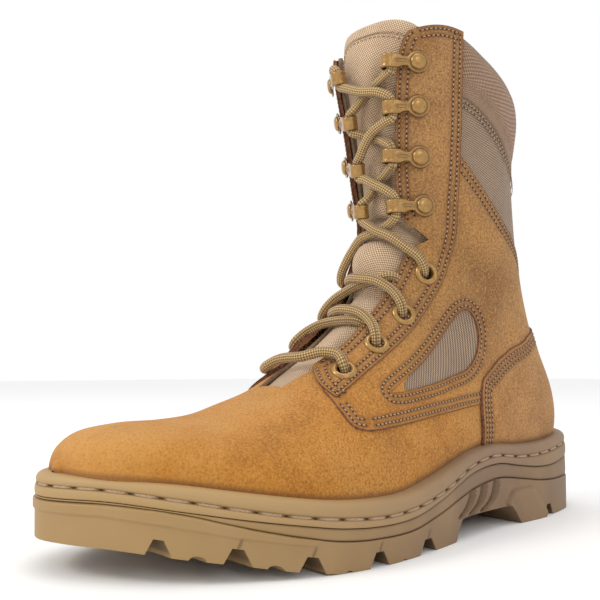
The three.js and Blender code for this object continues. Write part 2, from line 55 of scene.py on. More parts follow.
def addCamera():
    # one lens at a place, turned, raised and rolled
    turn, rise, roll = (math.radians(camera[key]) for key in ("turn", "rise", "roll"))
    ahead = np.array([-math.sin(turn) * math.cos(rise), math.cos(turn) * math.cos(rise), math.sin(rise)])
    right = np.array([math.cos(turn), math.sin(turn), 0.0])
    up = np.cross(right, ahead)
    right, up = right * math.cos(roll) + up * math.sin(roll), up * math.cos(roll) - right * math.sin(roll)
    data = bpy.data.cameras.new("viewLens")
    data.lens = camera["lens"]
    data.sensor_width = 36
    data.shift_x, data.shift_y = camera["shift"]
    data.clip_start, data.clip_end = 0.01, 60
    holder = bpy.data.objects.new("viewCamera", data)
    bpy.context.scene.collection.objects.link(holder)
    place = np.array(camera["place"]) * toMetres
    rows = np.stack([right, up, -ahead, place], axis=1)
    holder.matrix_world = Matrix([*map(list, rows), [0, 0, 0, 1]])
    bpy.context.scene.camera = holder


addCamera()


class Socket:
    # A node's output, with operators that add Math nodes.

    def __init__(self, tree, link):
        self.tree, self.link = tree, link

    def math(self, operation, *others, clamp=False):
        values = dict(enumerate([self, *others]))
        return self.tree.node("ShaderNodeMath", {"operation": operation, "use_clamp": clamp}, values)

    def __add__(self, other):
        return self.math("ADD", other)

    def __sub__(self, other):
        return self.math("SUBTRACT", other)

    def __mul__(self, other):
        return self.math("MULTIPLY", other)

    def __rsub__(self, other):
        return self.tree.node("ShaderNodeMath", {"operation": "SUBTRACT"}, {0: other, 1: self})

    __radd__ = __add__
    __rmul__ = __mul__

    def ramp(self, low, high, outLow=0.0, outHigh=1.0):
        # Runs smoothly from outLow to outHigh while the value runs from low to high.
        values = {0: self, 1: low, 2: high, 3: outLow, 4: outHigh}
        return self.tree.node("ShaderNodeMapRange", {"interpolation_type": "SMOOTHSTEP"}, values)


class Finish:
    # One material's nodes around its Principled shader.

    def __init__(self, name, **constants):
        self.material = bpy.data.materials.new(name)
        self.material.use_nodes = True
        self.nodes = self.material.node_tree.nodes
        self.links = self.material.node_tree.links
        self.shader = self.nodes["Principled BSDF"]
        for socket, value in constants.items():
            self.shader.inputs[socket.replace("_", " ")].default_value = value

    def node(self, kind, settings=None, values=None, output=0):
        # Adds a node: its settings first, then the values or links of its sockets.
        made = self.nodes.new(kind)
        for key, value in (settings or {}).items():
            setattr(made, key, value)
        for key, value in (values or {}).items():
            if isinstance(value, Socket):
                self.links.new(value.link, made.inputs[key])
            else:
                made.inputs[key].default_value = value
        return Socket(self, made.outputs[output])

    def place(self):
        return self.node("ShaderNodeTexCoord", output="Object")

    def attribute(self, name):
        return self.node("ShaderNodeAttribute", {"attribute_name": name}, output="Fac")

    def uv(self):
        return self.node("ShaderNodeUVMap", {"uv_map": "UVMap"})

    def noise(self, where, scale, detail=2.0, roughness=0.5):
        values = {"Vector": where, "Scale": scale, "Detail": detail, "Roughness": roughness}
        return self.node("ShaderNodeTexNoise", None, values)

    def mix(self, share, first, second):
        # Mixes two colours by a share.
        first, second = ((*part, 1) if isinstance(part, tuple) else part for part in (first, second))
        values = {0: share, 6: first, 7: second}
        return self.node("ShaderNodeMix", {"data_type": "RGBA"}, values, output=2)

    def split(self, vector):
        first = self.node("ShaderNodeSeparateXYZ", None, {0: vector})
        return [Socket(self, output) for output in first.link.node.outputs]

    def set(self, socket, value):
        self.links.new(value.link, self.shader.inputs[socket])

    def bump(self, height, distance, strength=1.0):
        # Raises the surface by height times distance, in metres.
        values = {"Height": height, "Distance": distance, "Strength": strength}
        self.set("Normal", self.node("ShaderNodeBump", None, values))


# Colours are linear.
suedeTones = {
    # toe: the paler suede tone, also used for the painted highlight on top of the toe
    "toe": (0.57, 0.295, 0.083),
    "vamp": (0.475, 0.192, 0.027),
    "ankle": (0.262, 0.137, 0.06),
    "shaft": (0.328, 0.182, 0.084),
    "heel": (0.345, 0.198, 0.108),
    "dark": (0.20, 0.075, 0.016),
    # seam: the colour of painted shade along sewn rows and where the upper meets the welt
    "seam": (0.19, 0.078, 0.028),
}


def suedeFinish():
    # short nap: fine and coarse noise, a painted highlight on top of the toe, browner up the shaft, painted shade
    # along sewn rows and where the upper meets the welt
    suede = Finish("suede", Roughness=0.95, Sheen_Weight=0.25, Sheen_Roughness=0.5, Specular_IOR_Level=0.15)
    suede.shader.inputs["Sheen Tint"].default_value = (1.0, 0.8, 0.55, 1)
    where = suede.place()
    along, height = suede.split(where)[1:]
    patches = suede.noise(where, 26, 4, 0.6)
    brushed = suede.noise(where, 9, 3, 0.55)
    grain = suede.noise(where, 960, 4, 0.78)
    heel = along.ramp(0.01, 0.1) * height.ramp(0.13, 0.08)
    nap = suede.noise(where, 2600, 2, 0.6)
    base = suede.mix(height.ramp(0.055, 0.115), suedeTones["vamp"], suedeTones["ankle"])
    base = suede.mix(height.ramp(0.13, 0.21), base, suedeTones["shaft"])
    # painted highlight on top of the toe box, in the paler toe tone
    toePaintedHighlight = along.ramp(-0.15, -0.105, 1, 0) * height.ramp(0.038, 0.052) * brushed.ramp(0.3, 0.6, 0.5, 1)
    base = suede.mix(toePaintedHighlight * 0.75, base, suedeTones["toe"])
    base = suede.mix(heel * 0.7, base, suedeTones["heel"])
    base = suede.mix(patches.ramp(0.4, 0.7) * 0.42, base, suedeTones["toe"])
    base = suede.mix(patches.ramp(0.52, 0.3) * 0.45, base, suedeTones["dark"])
    fleck = along.ramp(-0.15, -0.02, 0.35, 0.75)
    base = suede.mix(grain.ramp(0.52, 0.36) * fleck, base, suedeTones["dark"])
    base = suede.mix(grain.ramp(0.5, 0.64) * fleck * 0.9, base, suedeTones["toe"])
    # painted shade along sewn rows and where the upper meets the welt, from the seam attribute
    base = suede.mix(suede.attribute("seam") * 0.7, base, suedeTones["seam"])
    suede.set("Base Color", base)
    suede.bump(grain * 0.6 + nap * 0.4 + patches * 0.5, 0.0009, 0.7)
    return suede.material


def plainFinish(name, first, second, scale, depth, **constants):
    # two tones by noise, with the same noise as relief
    finish = Finish(name, **constants)
    where = finish.place()
    grain = finish.noise(where, scale, 4, 0.6)
    finish.set("Base Color", finish.mix(grain.ramp(0.3, 0.7), first, second))
    finish.bump(grain, depth, 0.8)
    return finish.material


def wovenFinish(name, pale, dark, pitch=0.00125):
    # coarse twill: two sets of threads cross at right angles, each a row of soft bumps
    woven = Finish(name, Roughness=0.8, Sheen_Weight=0.15, Specular_IOR_Level=0.25)
    flat = woven.uv()
    across, along = woven.split(flat)[:2]
    turns = 2 * math.pi / pitch
    warp = ((across + along * 0.5) * turns).math("SINE")
    weft = ((along - across * 0.35) * (turns * 1.05)).math("SINE")
    height = (warp * 0.5 + weft * 0.5).ramp(-0.75, 0.75)
    where = woven.place()
    mottled = woven.noise(where, 60, 3, 0.6)
    fuzz = woven.noise(where, 1800, 2, 0.6)
    base = woven.mix(height, dark, pale)
    base = woven.mix(mottled.ramp(0.35, 0.65) * 0.18, base, dark)
    # painted shade from the seam attribute, as in the tongue's troughs and the groove under its top band
    base = woven.mix(woven.attribute("seam") * 0.75, base, tuple(0.55 * part for part in dark))
    woven.set("Base Color", base)
    woven.bump(height + fuzz * 0.3, 0.00035, 0.8)
    return woven.material


def rubberFinish(name, front, back, backFrom):
    # moulded rubber: khaki, paler towards the toe, paler in cloudy patches, painted shade in the hollows and grooves,
    # faint pitting
    rubber = Finish(name, Specular_IOR_Level=0.4)
    where = rubber.place()
    along = rubber.split(where)[1]
    cloudy = rubber.noise(where, 35, 4, 0.6)
    pits = rubber.noise(where, 1400, 2, 0.5)
    base = rubber.mix(along.ramp(-0.13, backFrom), front, back)
    base = rubber.mix(cloudy.ramp(0.4, 0.75) * 0.3, base, (0.40, 0.27, 0.13))
    # painted shade from the seam attribute: grooves, hollows, notch walls and hidden faces
    base = rubber.mix(rubber.attribute("seam") * 0.85, base, (0.085, 0.05, 0.024))
    rubber.set("Base Color", base)
    rubber.set("Roughness", cloudy.ramp(0.3, 0.7, 0.5, 0.66))
    rubber.bump(pits + cloudy * 0.4, 0.00008, 0.7)
    return rubber.material


def cordFinish():
    # braid: two sets of strands wind round the cord in opposite ways, with a darker fleck along it
    cord = Finish("laceCord", Roughness=0.75, Sheen_Weight=0.2, Specular_IOR_Level=0.3)
    along, around = cord.split(cord.uv())[:2]
    strands = 2 * math.pi
    left = ((along * 1000 * 0.42 + around * 6) * strands).math("SINE")
    right = ((along * 1000 * 0.42 - around * 6) * strands).math("SINE")
    height = (left * right).ramp(-0.5, 0.7)
    base = cord.mix(height, (0.17, 0.095, 0.032), (0.62, 0.43, 0.19))
    fleck = ((around * 2 + 0.1) * strands).math("COSINE").ramp(0.8, 0.93)
    base = cord.mix(fleck * 0.65, base, (0.17, 0.09, 0.035))
    cord.set("Base Color", base)
    cord.bump(height, 0.00028, 0.9)
    return cord.material


def brassFinish():
    # dull painted brass with a few worn spots, and painted shade from the seam attribute at edges, undersides, slots
    # and feet
    brass = Finish("brass", Metallic=0.5, Specular_IOR_Level=0.5, Coat_Weight=0.5, Coat_Roughness=0.1)
    where = brass.place()
    worn = brass.noise(where, 420, 3, 0.6)
    base = brass.mix(worn.ramp(0.35, 0.75), (0.31, 0.16, 0.034), (0.39, 0.215, 0.052))
    brass.set("Base Color", brass.mix(brass.attribute("seam") * 0.85, base, (0.10, 0.045, 0.01)))
    brass.set("Roughness", worn.ramp(0.3, 0.7, 0.25, 0.31))
    brass.bump(worn, 0.00002, 0.4)
    return brass.material


finishes = {
    "suede": suedeFinish(),
    "rawEdge": plainFinish("rawEdge", (0.10, 0.035, 0.016), (0.27, 0.11, 0.05), 900, 0.0008, Roughness=0.95),
    "lining": plainFinish("lining", (0.16, 0.10, 0.06), (0.26, 0.17, 0.10), 700, 0.0004, Roughness=0.9),
    "nylon": wovenFinish("nylon", (0.44, 0.31, 0.205), (0.12, 0.072, 0.046)),
    "cuffNylon": wovenFinish("cuffNylon", (0.40, 0.255, 0.165), (0.17, 0.096, 0.057)),
    "tongueNylon": wovenFinish("tongueNylon", (0.80, 0.585, 0.385), (0.26, 0.16, 0.09)),
    "rubber": rubberFinish("rubber", (0.335, 0.208, 0.08), (0.20, 0.12, 0.065), 0.03),
    "weltRubber": rubberFinish("weltRubber", (0.385, 0.245, 0.10), (0.232, 0.145, 0.082), 0.06),
    "cord": cordFinish(),
    "brass": brassFinish(),
    "thread": plainFinish("thread", (0.29, 0.18, 0.10), (0.49, 0.335, 0.21), 2200, 0.0002, Roughness=0.7),
    # a needle hole's dark is painted shade inside the hole
    "needleHoleShade": plainFinish(
        "needleHoleShade", (0.045, 0.018, 0.008), (0.085, 0.034, 0.014), 900, 0.0002, Roughness=0.95
    ),
    "footbed": plainFinish("footbed", (0.10, 0.065, 0.04), (0.18, 0.12, 0.075), 1200, 0.0005, Roughness=0.95),
}
print("finishes made")


def gridFaces(rows, columns, rowsClosed=False, columnsClosed=False):
    # Quads of a grid of points, and each corner's row and column before wrapping.
    i, j = np.meshgrid(
        np.arange(rows - (not rowsClosed)), np.arange(columns - (not columnsClosed)), indexing="ij"
    )
    i, j = i.ravel()[:, None], j.ravel()[:, None]
    cornerRow = i + np.array([[0, 0, 1, 1]])
    cornerColumn = j + np.array([[0, 1, 1, 0]])
    faces = (cornerRow % rows) * columns + cornerColumn % columns
    return faces, cornerRow, cornerColumn


def sheet(points, rowsClosed=False, columnsClosed=False, uv=None, flip=False, **extra):
    # A grid of points as a part: vertices, quads, and a uv place for each corner.
    rows, columns = points.shape[:2]
    faces, cornerRow, cornerColumn = gridFaces(rows, columns, rowsClosed, columnsClosed)
    if uv is None:
        corners = np.zeros((*faces.shape, 2))
    else:
        corners = uv[cornerRow % uv.shape[0], cornerColumn % uv.shape[1]]
    if flip:
        faces, corners = faces[:, ::-1], corners[:, ::-1]
    part = {"points": points.reshape(-1, 3), "faces": faces, "uv": corners}
    for name, values in extra.items():
        part[name] = np.broadcast_to(values, points.shape[:2]).ravel()
    return part


def keepFaces(part, keep):
    # The part with only the faces of a mask, and no loose vertices.
    faces, corners = part["faces"][keep], part["uv"][keep]
    used, inverse = np.unique(faces, return_inverse=True)
    kept = {"points": part["points"][used], "faces": inverse.reshape(faces.shape), "uv": corners}
    for name in set(part) - {"points", "faces", "uv", "slot"}:
        kept[name] = part[name][used]
    if "slot" in part:
        kept["slot"] = part["slot"][keep]
    return kept


def joinParts(parts):
    # Several parts as one.
    starts = np.cumsum([0] + [len(part["points"]) for part in parts[:-1]])
    joined = {
        "points": np.concatenate([part["points"] for part in parts]),
        "faces": np.concatenate([part["faces"] + start for part, start in zip(parts, starts)]),
        "uv": np.concatenate([part["uv"] for part in parts]),
    }
    if any("slot" in part for part in parts):
        slots = [part.get("slot", np.zeros(len(part["faces"]), int)) for part in parts]
        joined["slot"] = np.concatenate(slots)
    if any("seam" in part for part in parts):
        seams = [part.get("seam", np.zeros(len(part["points"]))) for part in parts]
        joined["seam"] = np.concatenate(seams)
    return joined


def weld(part, size=1e-3):
    # Merges vertices that share a place, and drops faces that have closed up to a line.
    keys = np.round(part["points"] / size).astype(np.int64)
    first, inverse = np.unique(keys, axis=0, return_index=True, return_inverse=True)[1:]
    inverse = inverse.ravel()
    faces = inverse[part["faces"]]
    opposite = (faces[:, 0] != faces[:, 2]) & (faces[:, 1] != faces[:, 3])
    sides = sum((faces[:, k] == faces[:, (k + 1) % 4]).astype(int) for k in range(4))
    keep = opposite & (sides < 2)
    welded = {"points": part["points"][first], "faces": faces[keep], "uv": part["uv"][keep]}
    if "seam" in part:
        welded["seam"] = part["seam"][first]
    if "slot" in part:
        welded["slot"] = part["slot"][keep]
    return welded


def addPiece(name, part, materials, replaced=()):
    # Makes a mesh object from a part, rides it on the boot and gives it its finish.
    points = (part["points"] + frameShift) * toMetres
    faces, corners = part["faces"], part["uv"]
    # a corner that repeats the one before it turns the quad into a triangle
    repeats = faces == np.roll(faces, 1, axis=1)
    sizes = 4 - repeats.sum(axis=1)
    flat = faces[~repeats]
    mesh = bpy.data.meshes.new(name)
    mesh.vertices.add(len(points))
    mesh.vertices.foreach_set("co", points.ravel())
    mesh.loops.add(len(flat))
    mesh.loops.foreach_set("vertex_index", flat.ravel().astype(np.int32))
    mesh.polygons.add(len(faces))
    starts = np.concatenate([[0], np.cumsum(sizes)[:-1]]).astype(np.int32)
    mesh.polygons.foreach_set("loop_start", starts)
    mesh.update(calc_edges=True)
    mesh.validate()
    layer = mesh.uv_layers.new(name="UVMap")
    layer.data.foreach_set("uv", (corners[~repeats] * toMetres).ravel())
    # the seam attribute holds a darkness of painted shade for the finishes: in grooves, hollows, under parts and
    # along sewn rows
    if "seam" in part:
        mesh.attributes.new("seam", "FLOAT", "POINT").data.foreach_set("value", part["seam"].astype(np.float32))
    for material in materials:
        mesh.materials.append(finishes[material])
    if "slot" in part:
        mesh.polygons.foreach_set("material_index", part["slot"].astype(np.int32))
    mesh.polygons.foreach_set("use_smooth", np.full(len(faces), True))
    piece = bpy.data.objects.new(name, mesh)
    bpy.context.scene.collection.objects.link(piece)
    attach(piece, "root")
    if replaced:
        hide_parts(*replaced)
    return piece


def unit(vectors):
    # vectors brought to length one
    return vectors / np.maximum(np.linalg.norm(vectors, axis=-1, keepdims=True), 1e-9)


def hump(value, width=1.0):
    # a soft bump: 1 at zero, gone at twice the width
    return np.exp(-((value / width) ** 2))


def smoothstep(low, high, value):
    # runs from 0 at low to 1 at high along a smooth cubic, and the other way when high is the smaller one
    u = np.clip((value - low) / (high - low), 0, 1)
    return u * u * (3 - 2 * u)


def read(at, rows):
    # a table's second column by straight lines over its first
    return np.interp(at, *np.array(rows, float).T)


def smoothTable(rows):
    # Rows with a rising first column, read as one smooth cubic for each other column.
    rows = np.array(rows, float)
    keys, values = rows[:, 0], rows[:, 1:]
    index = np.arange(len(keys))
    before, after = np.maximum(index - 1, 0), np.minimum(index + 1, len(keys) - 1)
    slopes = (values[after] - values[before]) / (keys[after] - keys[before])[:, None]

    def curve(at):
        at = np.asarray(at, float)
        j = np.clip(np.searchsorted(keys, at, side="right") - 1, 0, len(keys) - 2)
        span = (keys[j + 1] - keys[j])[..., None]
        u = np.clip((at - keys[j])[..., None] / span, 0, 1)
        beyond = (at - keys[j])[..., None] - u * span
        bend = values[j] + (values[j + 1] - values[j]) * u * u * (3 - 2 * u)
        ease = u * (1 - u) ** 2 * slopes[j] * span - u * u * (1 - u) * slopes[j + 1] * span
        return bend + ease + beyond * np.where(u < 0.5, slopes[j], slopes[j + 1])

    return curve


def curveThrough(points, count, closed=False):
    # A smooth curve through points, centripetal Catmull-Rom, at even steps of its knots.
    points = np.array(points, float)
    total = len(points)
    spans = total if closed else total - 1
    t = np.linspace(0, spans, count, endpoint=not closed)
    i = np.clip(np.floor(t).astype(int), 0, spans - 1)
    u = (t - i)[:, None]
    if closed:
        p = [points[(i + k) % total] for k in (-1, 0, 1, 2)]
    else:
        padded = np.vstack([2 * points[0] - points[1], points, 2 * points[-1] - points[-2]])
        p = [padded[i + k] for k in range(4)]
    d = [np.maximum(np.linalg.norm(p[k + 1] - p[k], axis=1, keepdims=True) ** 0.5, 1e-4) for k in range(3)]
    m1 = ((p[1] - p[0]) / d[0] - (p[2] - p[0]) / (d[0] + d[1]) + (p[2] - p[1]) / d[1]) * d[1]
    m2 = ((p[2] - p[1]) / d[1] - (p[3] - p[1]) / (d[1] + d[2]) + (p[3] - p[2]) / d[2]) * d[1]
    a = 2 * p[1] - 2 * p[2] + m1 + m2
    b = -3 * p[1] + 3 * p[2] - 2 * m1 - m2
    return ((a * u + b) * u + m1) * u + p[1]


def runOf(path):
    # the length along a path up to each of its points
    return np.concatenate([[0], np.cumsum(np.linalg.norm(np.diff(path, axis=0), axis=1))])


def readPath(at, run, path, **options):
    # a path's columns at given lengths along it
    return np.stack([np.interp(at, run, column, **options) for column in path.T], axis=1)


def evenly(path, count, closed=False, over=None):
    # the same path at even steps of its length, or of the length of another one that goes with it
    over = path if over is None else over
    if closed:
        path, over = (np.vstack([points, points[:1]]) for points in (path, over))
    run = runOf(over)
    return readPath(np.linspace(0, run[-1], count, endpoint=not closed), run, path)


heelPoint, toePoint = (1, 155), (-15, -154.8)
outlineRows = [  # y, lateral and medial half widths
    (151, 16.5, -14), (141, 28.5, -26), (122, 36, -35), (98, 40.6, -38), (68, 42.6, -36.5), (36, 46.8, -34.3),
    (3, 55.4, -37), (-28, 61.6, -45.5), (-54, 62.6, -55), (-80, 57.2, -58.7), (-104, 46.6, -57.6),
    (-125, 33.2, -52), (-141, 15.8, -42), (-151, -0.8, -28.8),
]
soleLines = smoothTable([  # y, ledge, underside of welt, wedge thickness, ground
    (-156, 38.6, 29.6, 0.8, 13.4), (-140, 38.1, 29.6, 0.8, 12.4), (-120, 36, 26.4, 0.8, 9.3),
    (-100, 32.7, 22.8, 2.8, 6), (-80, 29.5, 19.6, 4.3, 2.3), (-62, 27.2, 17, 4.9, 0), (-40, 26, 15.7, 4.8, 0),
    (-20, 26.5, 16.5, 5.2, 0), (0, 29.9, 20.4, 5.8, 0), (20, 34.4, 25.6, 7, 0), (40, 39, 30, 7.8, 0),
    (60, 41, 31.4, 7.2, 0), (80, 39.8, 28.8, 6.6, 0), (100, 39.7, 26.8, 7.2, 0), (120, 41.2, 27.3, 8.8, 0),
    (156, 45, 33, 14, 0),
])
stitchLine = smoothTable([  # y, height of the welt's stitches
    (-156, 34.2), (-141, 33.9), (-123, 30.9), (-103, 26.8), (-83, 23.1), (-61, 20.3), (-36, 18.9), (-10, 20.9),
    (13, 25.7), (36, 32.4), (57, 35.4), (81, 33.3), (103, 33.7), (129, 36.2), (156, 39.6),
])
sole = {
    "gap": 0.12,
    "lug": 6.0,
    "notches": (0.11, 0.24, 0.495, 0.574, 0.655, 0.729, 0.808),  # share of the outline, heel to toe
    "nicks": {0.535: 1.3, 0.615: 1.4, 0.692: 3.0, 0.768: 3.2},  # half width by share
    "notchFoot": 10.5,
    "notchHead": 4.2,
    "notchDepth": 15.0,
    "archRows": ((16, 0), (17.5, 3), (20, 6), (23, 9.2), (28, 9.5), (64, 9.5), (69, 9.5), (73, 5.7), (77.5, 0)),
    "centreLugs": ((-112, 20), (-88, 25), (-62, 26), (-36, 22), (-10, 18), (104, 12), (126, 9)),  # y, half width
    "stitchPitch": 11.9,
    "recessSpans": ((0.1, 0.24), (0.5, 0.92)),  # shares of the tread's length with a recessed middle
    "recessFrom": 19,
    "recessDepth": 5.0,
    "innerEdge": (15.3, 30),
    "rimInset": 1.1,
    "wallInset": 0.55,
    "wallLean": 0.35,
    "aroundCount": 900,
}
soleKnots = [heelPoint] + [(row[1], row[0]) for row in outlineRows] + [toePoint]
soleKnots += [(row[2], row[0]) for row in outlineRows[::-1]]
outline = curveThrough(soleKnots, sole["aroundCount"], closed=True)
outlineNext = np.roll(outline, -1, axis=0) - np.roll(outline, 1, axis=0)
outlineNext /= np.linalg.norm(outlineNext, axis=1, keepdims=True)
outlineOut = np.stack([-outlineNext[:, 1], outlineNext[:, 0]], axis=1)
halfOutline = runOf(outline)[-1] / 2


def soleAt(y):
    # the ledge, the welt's underside, the outsole's top and the ground at y
    lines = soleLines(y)
    ledge, seam, wedge, ground = (lines[..., k] for k in range(4))
    return ledge, seam, seam - wedge, np.maximum(ground, 0)


def ringAt(inset, height):
    # The outline drawn in by inset, at a height worked out from y there.
    flat = outline - outlineOut * np.broadcast_to(np.asarray(inset, float), (len(outline),))[:, None]
    return np.column_stack([flat, np.broadcast_to(height(flat[:, 1]), (len(flat),))])


def weltHeight(share):
    # A height on the welt's side, 0 at its underside, 1 at the stitches and 2 at the ledge.
    def height(y):
        ledge, seam = soleAt(y)[:2]
        stitches = stitchLine(y)[..., 0]
        low = seam + sole["gap"] / 2
        return np.where(share < 1, low + (stitches - low) * share, stitches + (ledge - stitches) * (share - 1))

    return height


# The welt is a profile carried round the outline: inset from the edge, height share, darkness of painted shade in the
# stitch groove, underneath and at the inner edge.
weltProfile = [
    (14.6, 0.0, 0.6), (2.0, 0.0, 0.8), (1.1, 0.012, 0.6), (0.65, 0.05, 0.1), (0.5, 0.14, 0), (0.42, 0.4, 0),
    (0.5, 0.7, 0), (0.75, 0.82, 0.1), (1.4, 0.88, 0.4), (1.9, 0.94, 0.6), (2.0, 1.0, 0.65), (1.85, 1.05, 0.6),
    (1.4, 1.1, 0.35), (0.95, 1.18, 0.05), (0.8, 1.3, 0), (0.95, 1.5, 0), (1.4, 1.7, 0), (2.3, 1.86, 0),
    (3.6, 1.96, 0), (5.2, 2.0, 0), (7.6, 2.0, 0), (9.2, 1.99, 0.35), (14.6, 1.97, 0.9),
]


def addWelt():
    # The profile is carried round the outline as a closed ring.
    rows = [ringAt(inset, weltHeight(share)) for inset, share, dark in weltProfile]
    dark = np.array([row[2] for row in weltProfile])[:, None]
    part = sheet(np.array(rows), True, True, seam=dark)
    return addPiece("weltRing", part, ["weltRubber"], ["welt"])


def addMidsole():
    # The wedge between welt and outsole: a profile round the outline, closed below and above.
    def between(share):
        def height(y):
            seam, split = soleAt(y)[1:3]
            return split + sole["gap"] / 2 + (seam - split - sole["gap"]) * share

        return height

    # the third column is a darkness of painted shade, in the grooves and on the faces hidden between welt and outsole
    profile = [
        (30, 0.0, 1), (4, 0.0, 1), (1.6, 0.0, 0.8), (1.0, 0.05, 0.3), (0.8, 0.2, 0), (0.8, 0.8, 0),
        (1.0, 0.95, 0.3), (1.7, 1.0, 0.8), (5, 1.0, 1), (sole["innerEdge"][0], 1.0, 1),
    ]
    rows = [ringAt(inset, between(share)) for inset, share, dark in profile]
    rows += [ringAt(inset, lambda y: soleAt(y)[0] - sole["gap"]) for inset in sole["innerEdge"]]
    dark = np.array([row[2] for row in profile] + [1, 1])[:, None]
    part = sheet(np.array(rows), False, True, seam=dark)
    return addPiece("midsoleWedge", closeRings(part, len(rows)), ["rubber"], ["midsole"])


def closeRings(part, rows):
    # Closes the first and last ring by strips from each point to the one across from it.
    count = sole["aroundCount"]
    half = count // 2
    j = np.arange(half - 1) + 1
    across = (count - j) % count
    first = np.stack([j, j + 1, (count - j - 1) % count, across], axis=1)[:-1]
    tips = np.array([[0, 1, count - 1, count - 1], [half - 1, half, half + 1, half + 1]])
    cap = np.vstack([first, tips])
    last = (cap + (rows - 1) * count)[:, ::-1]
    for faces in (cap, last):
        part["faces"] = np.vstack([part["faces"], faces])
        part["uv"] = np.concatenate([part["uv"], np.zeros((len(faces), 4, 2))])
    return part


def notchRise(share):
    # How far the tread's edge rises at each place round the outline: notches and small round nicks.
    rise = np.zeros_like(share)
    for place in sole["notches"]:
        away = np.abs(share - place) * halfOutline
        foot, head = sole["notchFoot"] / 2, sole["notchHead"] / 2
        rise = np.maximum(rise, sole["lug"] * np.clip((foot - away) / (foot - head), 0, 1))
    for place, half in sole["nicks"].items():
        away = np.abs(share - place) * halfOutline
        rise = np.maximum(rise, 0.56 * half * np.sqrt(np.clip(1 - (away / half) ** 2, 0, 1)))
    return rise


def archRise(y):
    # how high the tread stands off the ground under the arch
    return read(y, sole["archRows"])


def outsoleShares():
    # Shares from heel to toe, with extra ones where the notches turn.
    shares = list(np.linspace(0, 1, 640))
    for place in sole["notches"]:
        for away in (sole["notchFoot"] / 2, sole["notchHead"] / 2):
            shares += [place + side * (away + d) / halfOutline for side in (-1, 1) for d in (-0.15, 0, 0.15)]
    return np.unique(np.clip(shares, 0, 1))


def outlineShare(share, side):
    # The outline's point and outward direction at a share from heel to toe on one side.
    place = (share / 2 if side > 0 else 1 - share / 2) * len(outline)
    i = np.floor(place).astype(int)
    u = (place - i)[:, None]
    a, b = i % len(outline), (i + 1) % len(outline)
    return outline[a] * (1 - u) + outline[b] * u, outlineOut[a] * (1 - u) + outlineOut[b] * u


ribs = {  # over the arch: y of each top, how far it leans back by height, and how far it stands out
    "tops": (58.0, 46.6, 35.4),
    "sweep": [(9, -15), (11.3, -11.2), (12.5, -8), (14.3, -4.8), (18, -1.6), (22.7, 0), (26, 0.6)],
    "proud": 1.4,
    "hollow": 2.3,
}
heelPad = {"front": 66, "back": 92, "top": 17.2, "proud": 1.5}
toeLip = {
    "line": ((-156, 24.4), (-142, 24.4), (-124, 21.2), (-102, 16.2), (-77, 11.8), (-62, 9)),  # y, height
    "proud": 0.7,
}


def wallRelief(f, share, y, z):
    # Where the outsole's side stands in from the outline, and its darkness of painted shade, at a share f from top to
    # foot.
    rim = 1 - smoothstep(0, 0.035, f)
    lip = smoothstep(-0.4, 0.4, z - read(y, toeLip["line"])) * smoothstep(-70, -84, y)
    inset = sole["rimInset"] * rim ** 2 + sole["wallInset"] + sole["wallLean"] * f
    inset = inset - toeLip["proud"] * lip * smoothstep(0.02, 0.06, f)
    # painted shade in the groove along the top edge
    dark = 0.7 * rim + 0 * z
    # the heel block's raised pad: slanted ends and a level top, with a shadow round it
    front = heelPad["front"] + 0.9 * np.abs(z - 11)
    back = heelPad["back"] + 15 - z
    above, below = heelPad["top"], heelPad["top"] - 1
    pad = smoothstep(front - 0.5, front + 0.7, y) * smoothstep(back + 0.7, back - 0.5, y)
    inset = inset - heelPad["proud"] * pad * smoothstep(above, below, z)
    shadow = hump(y - front + 0.7, 0.9) * smoothstep(18, 16.5, z) + hump(y - back - 0.7, 0.9) * smoothstep(16, 14, z)
    shadow += hump(z - above - 0.2, 0.6) * smoothstep(front - 1, front + 1, y) * smoothstep(back + 1, back - 1, y)
    dark = np.maximum(dark, 0.4 * shadow)
    # each rib over the arch has a hollow behind it, with painted shade beside the rib and in the hollow
    sweep = read(z, ribs["sweep"])
    shown = smoothstep(9.5, 10.5, z) * smoothstep(24.5, 22.5, z)
    for top in ribs["tops"]:
        away = y - (top + sweep)
        hollow = smoothstep(-5.5, -0.9, away) * smoothstep(0, -0.8, away) * shown
        inset = inset - ribs["proud"] * hump(away, 0.7) * shown + ribs["hollow"] * hollow
        dark = np.maximum(dark, np.maximum(hump(away + 1.5, 0.8) * shown, 0.5 * hollow))
    # a short slanted crease rises from the corner of each front notch, darkened with painted shade
    over = z - soleAt(y)[3] - sole["lug"]
    for place in sole["notches"][2:6]:
        away = (share - place) * halfOutline + 0.35 * over
        crease = hump(away, 0.5) * smoothstep(-0.3, 0.4, over) * smoothstep(5, 2.5, over)
        inset = inset + 0.5 * crease
        dark = np.maximum(dark, 0.8 * crease)
    return inset, dark


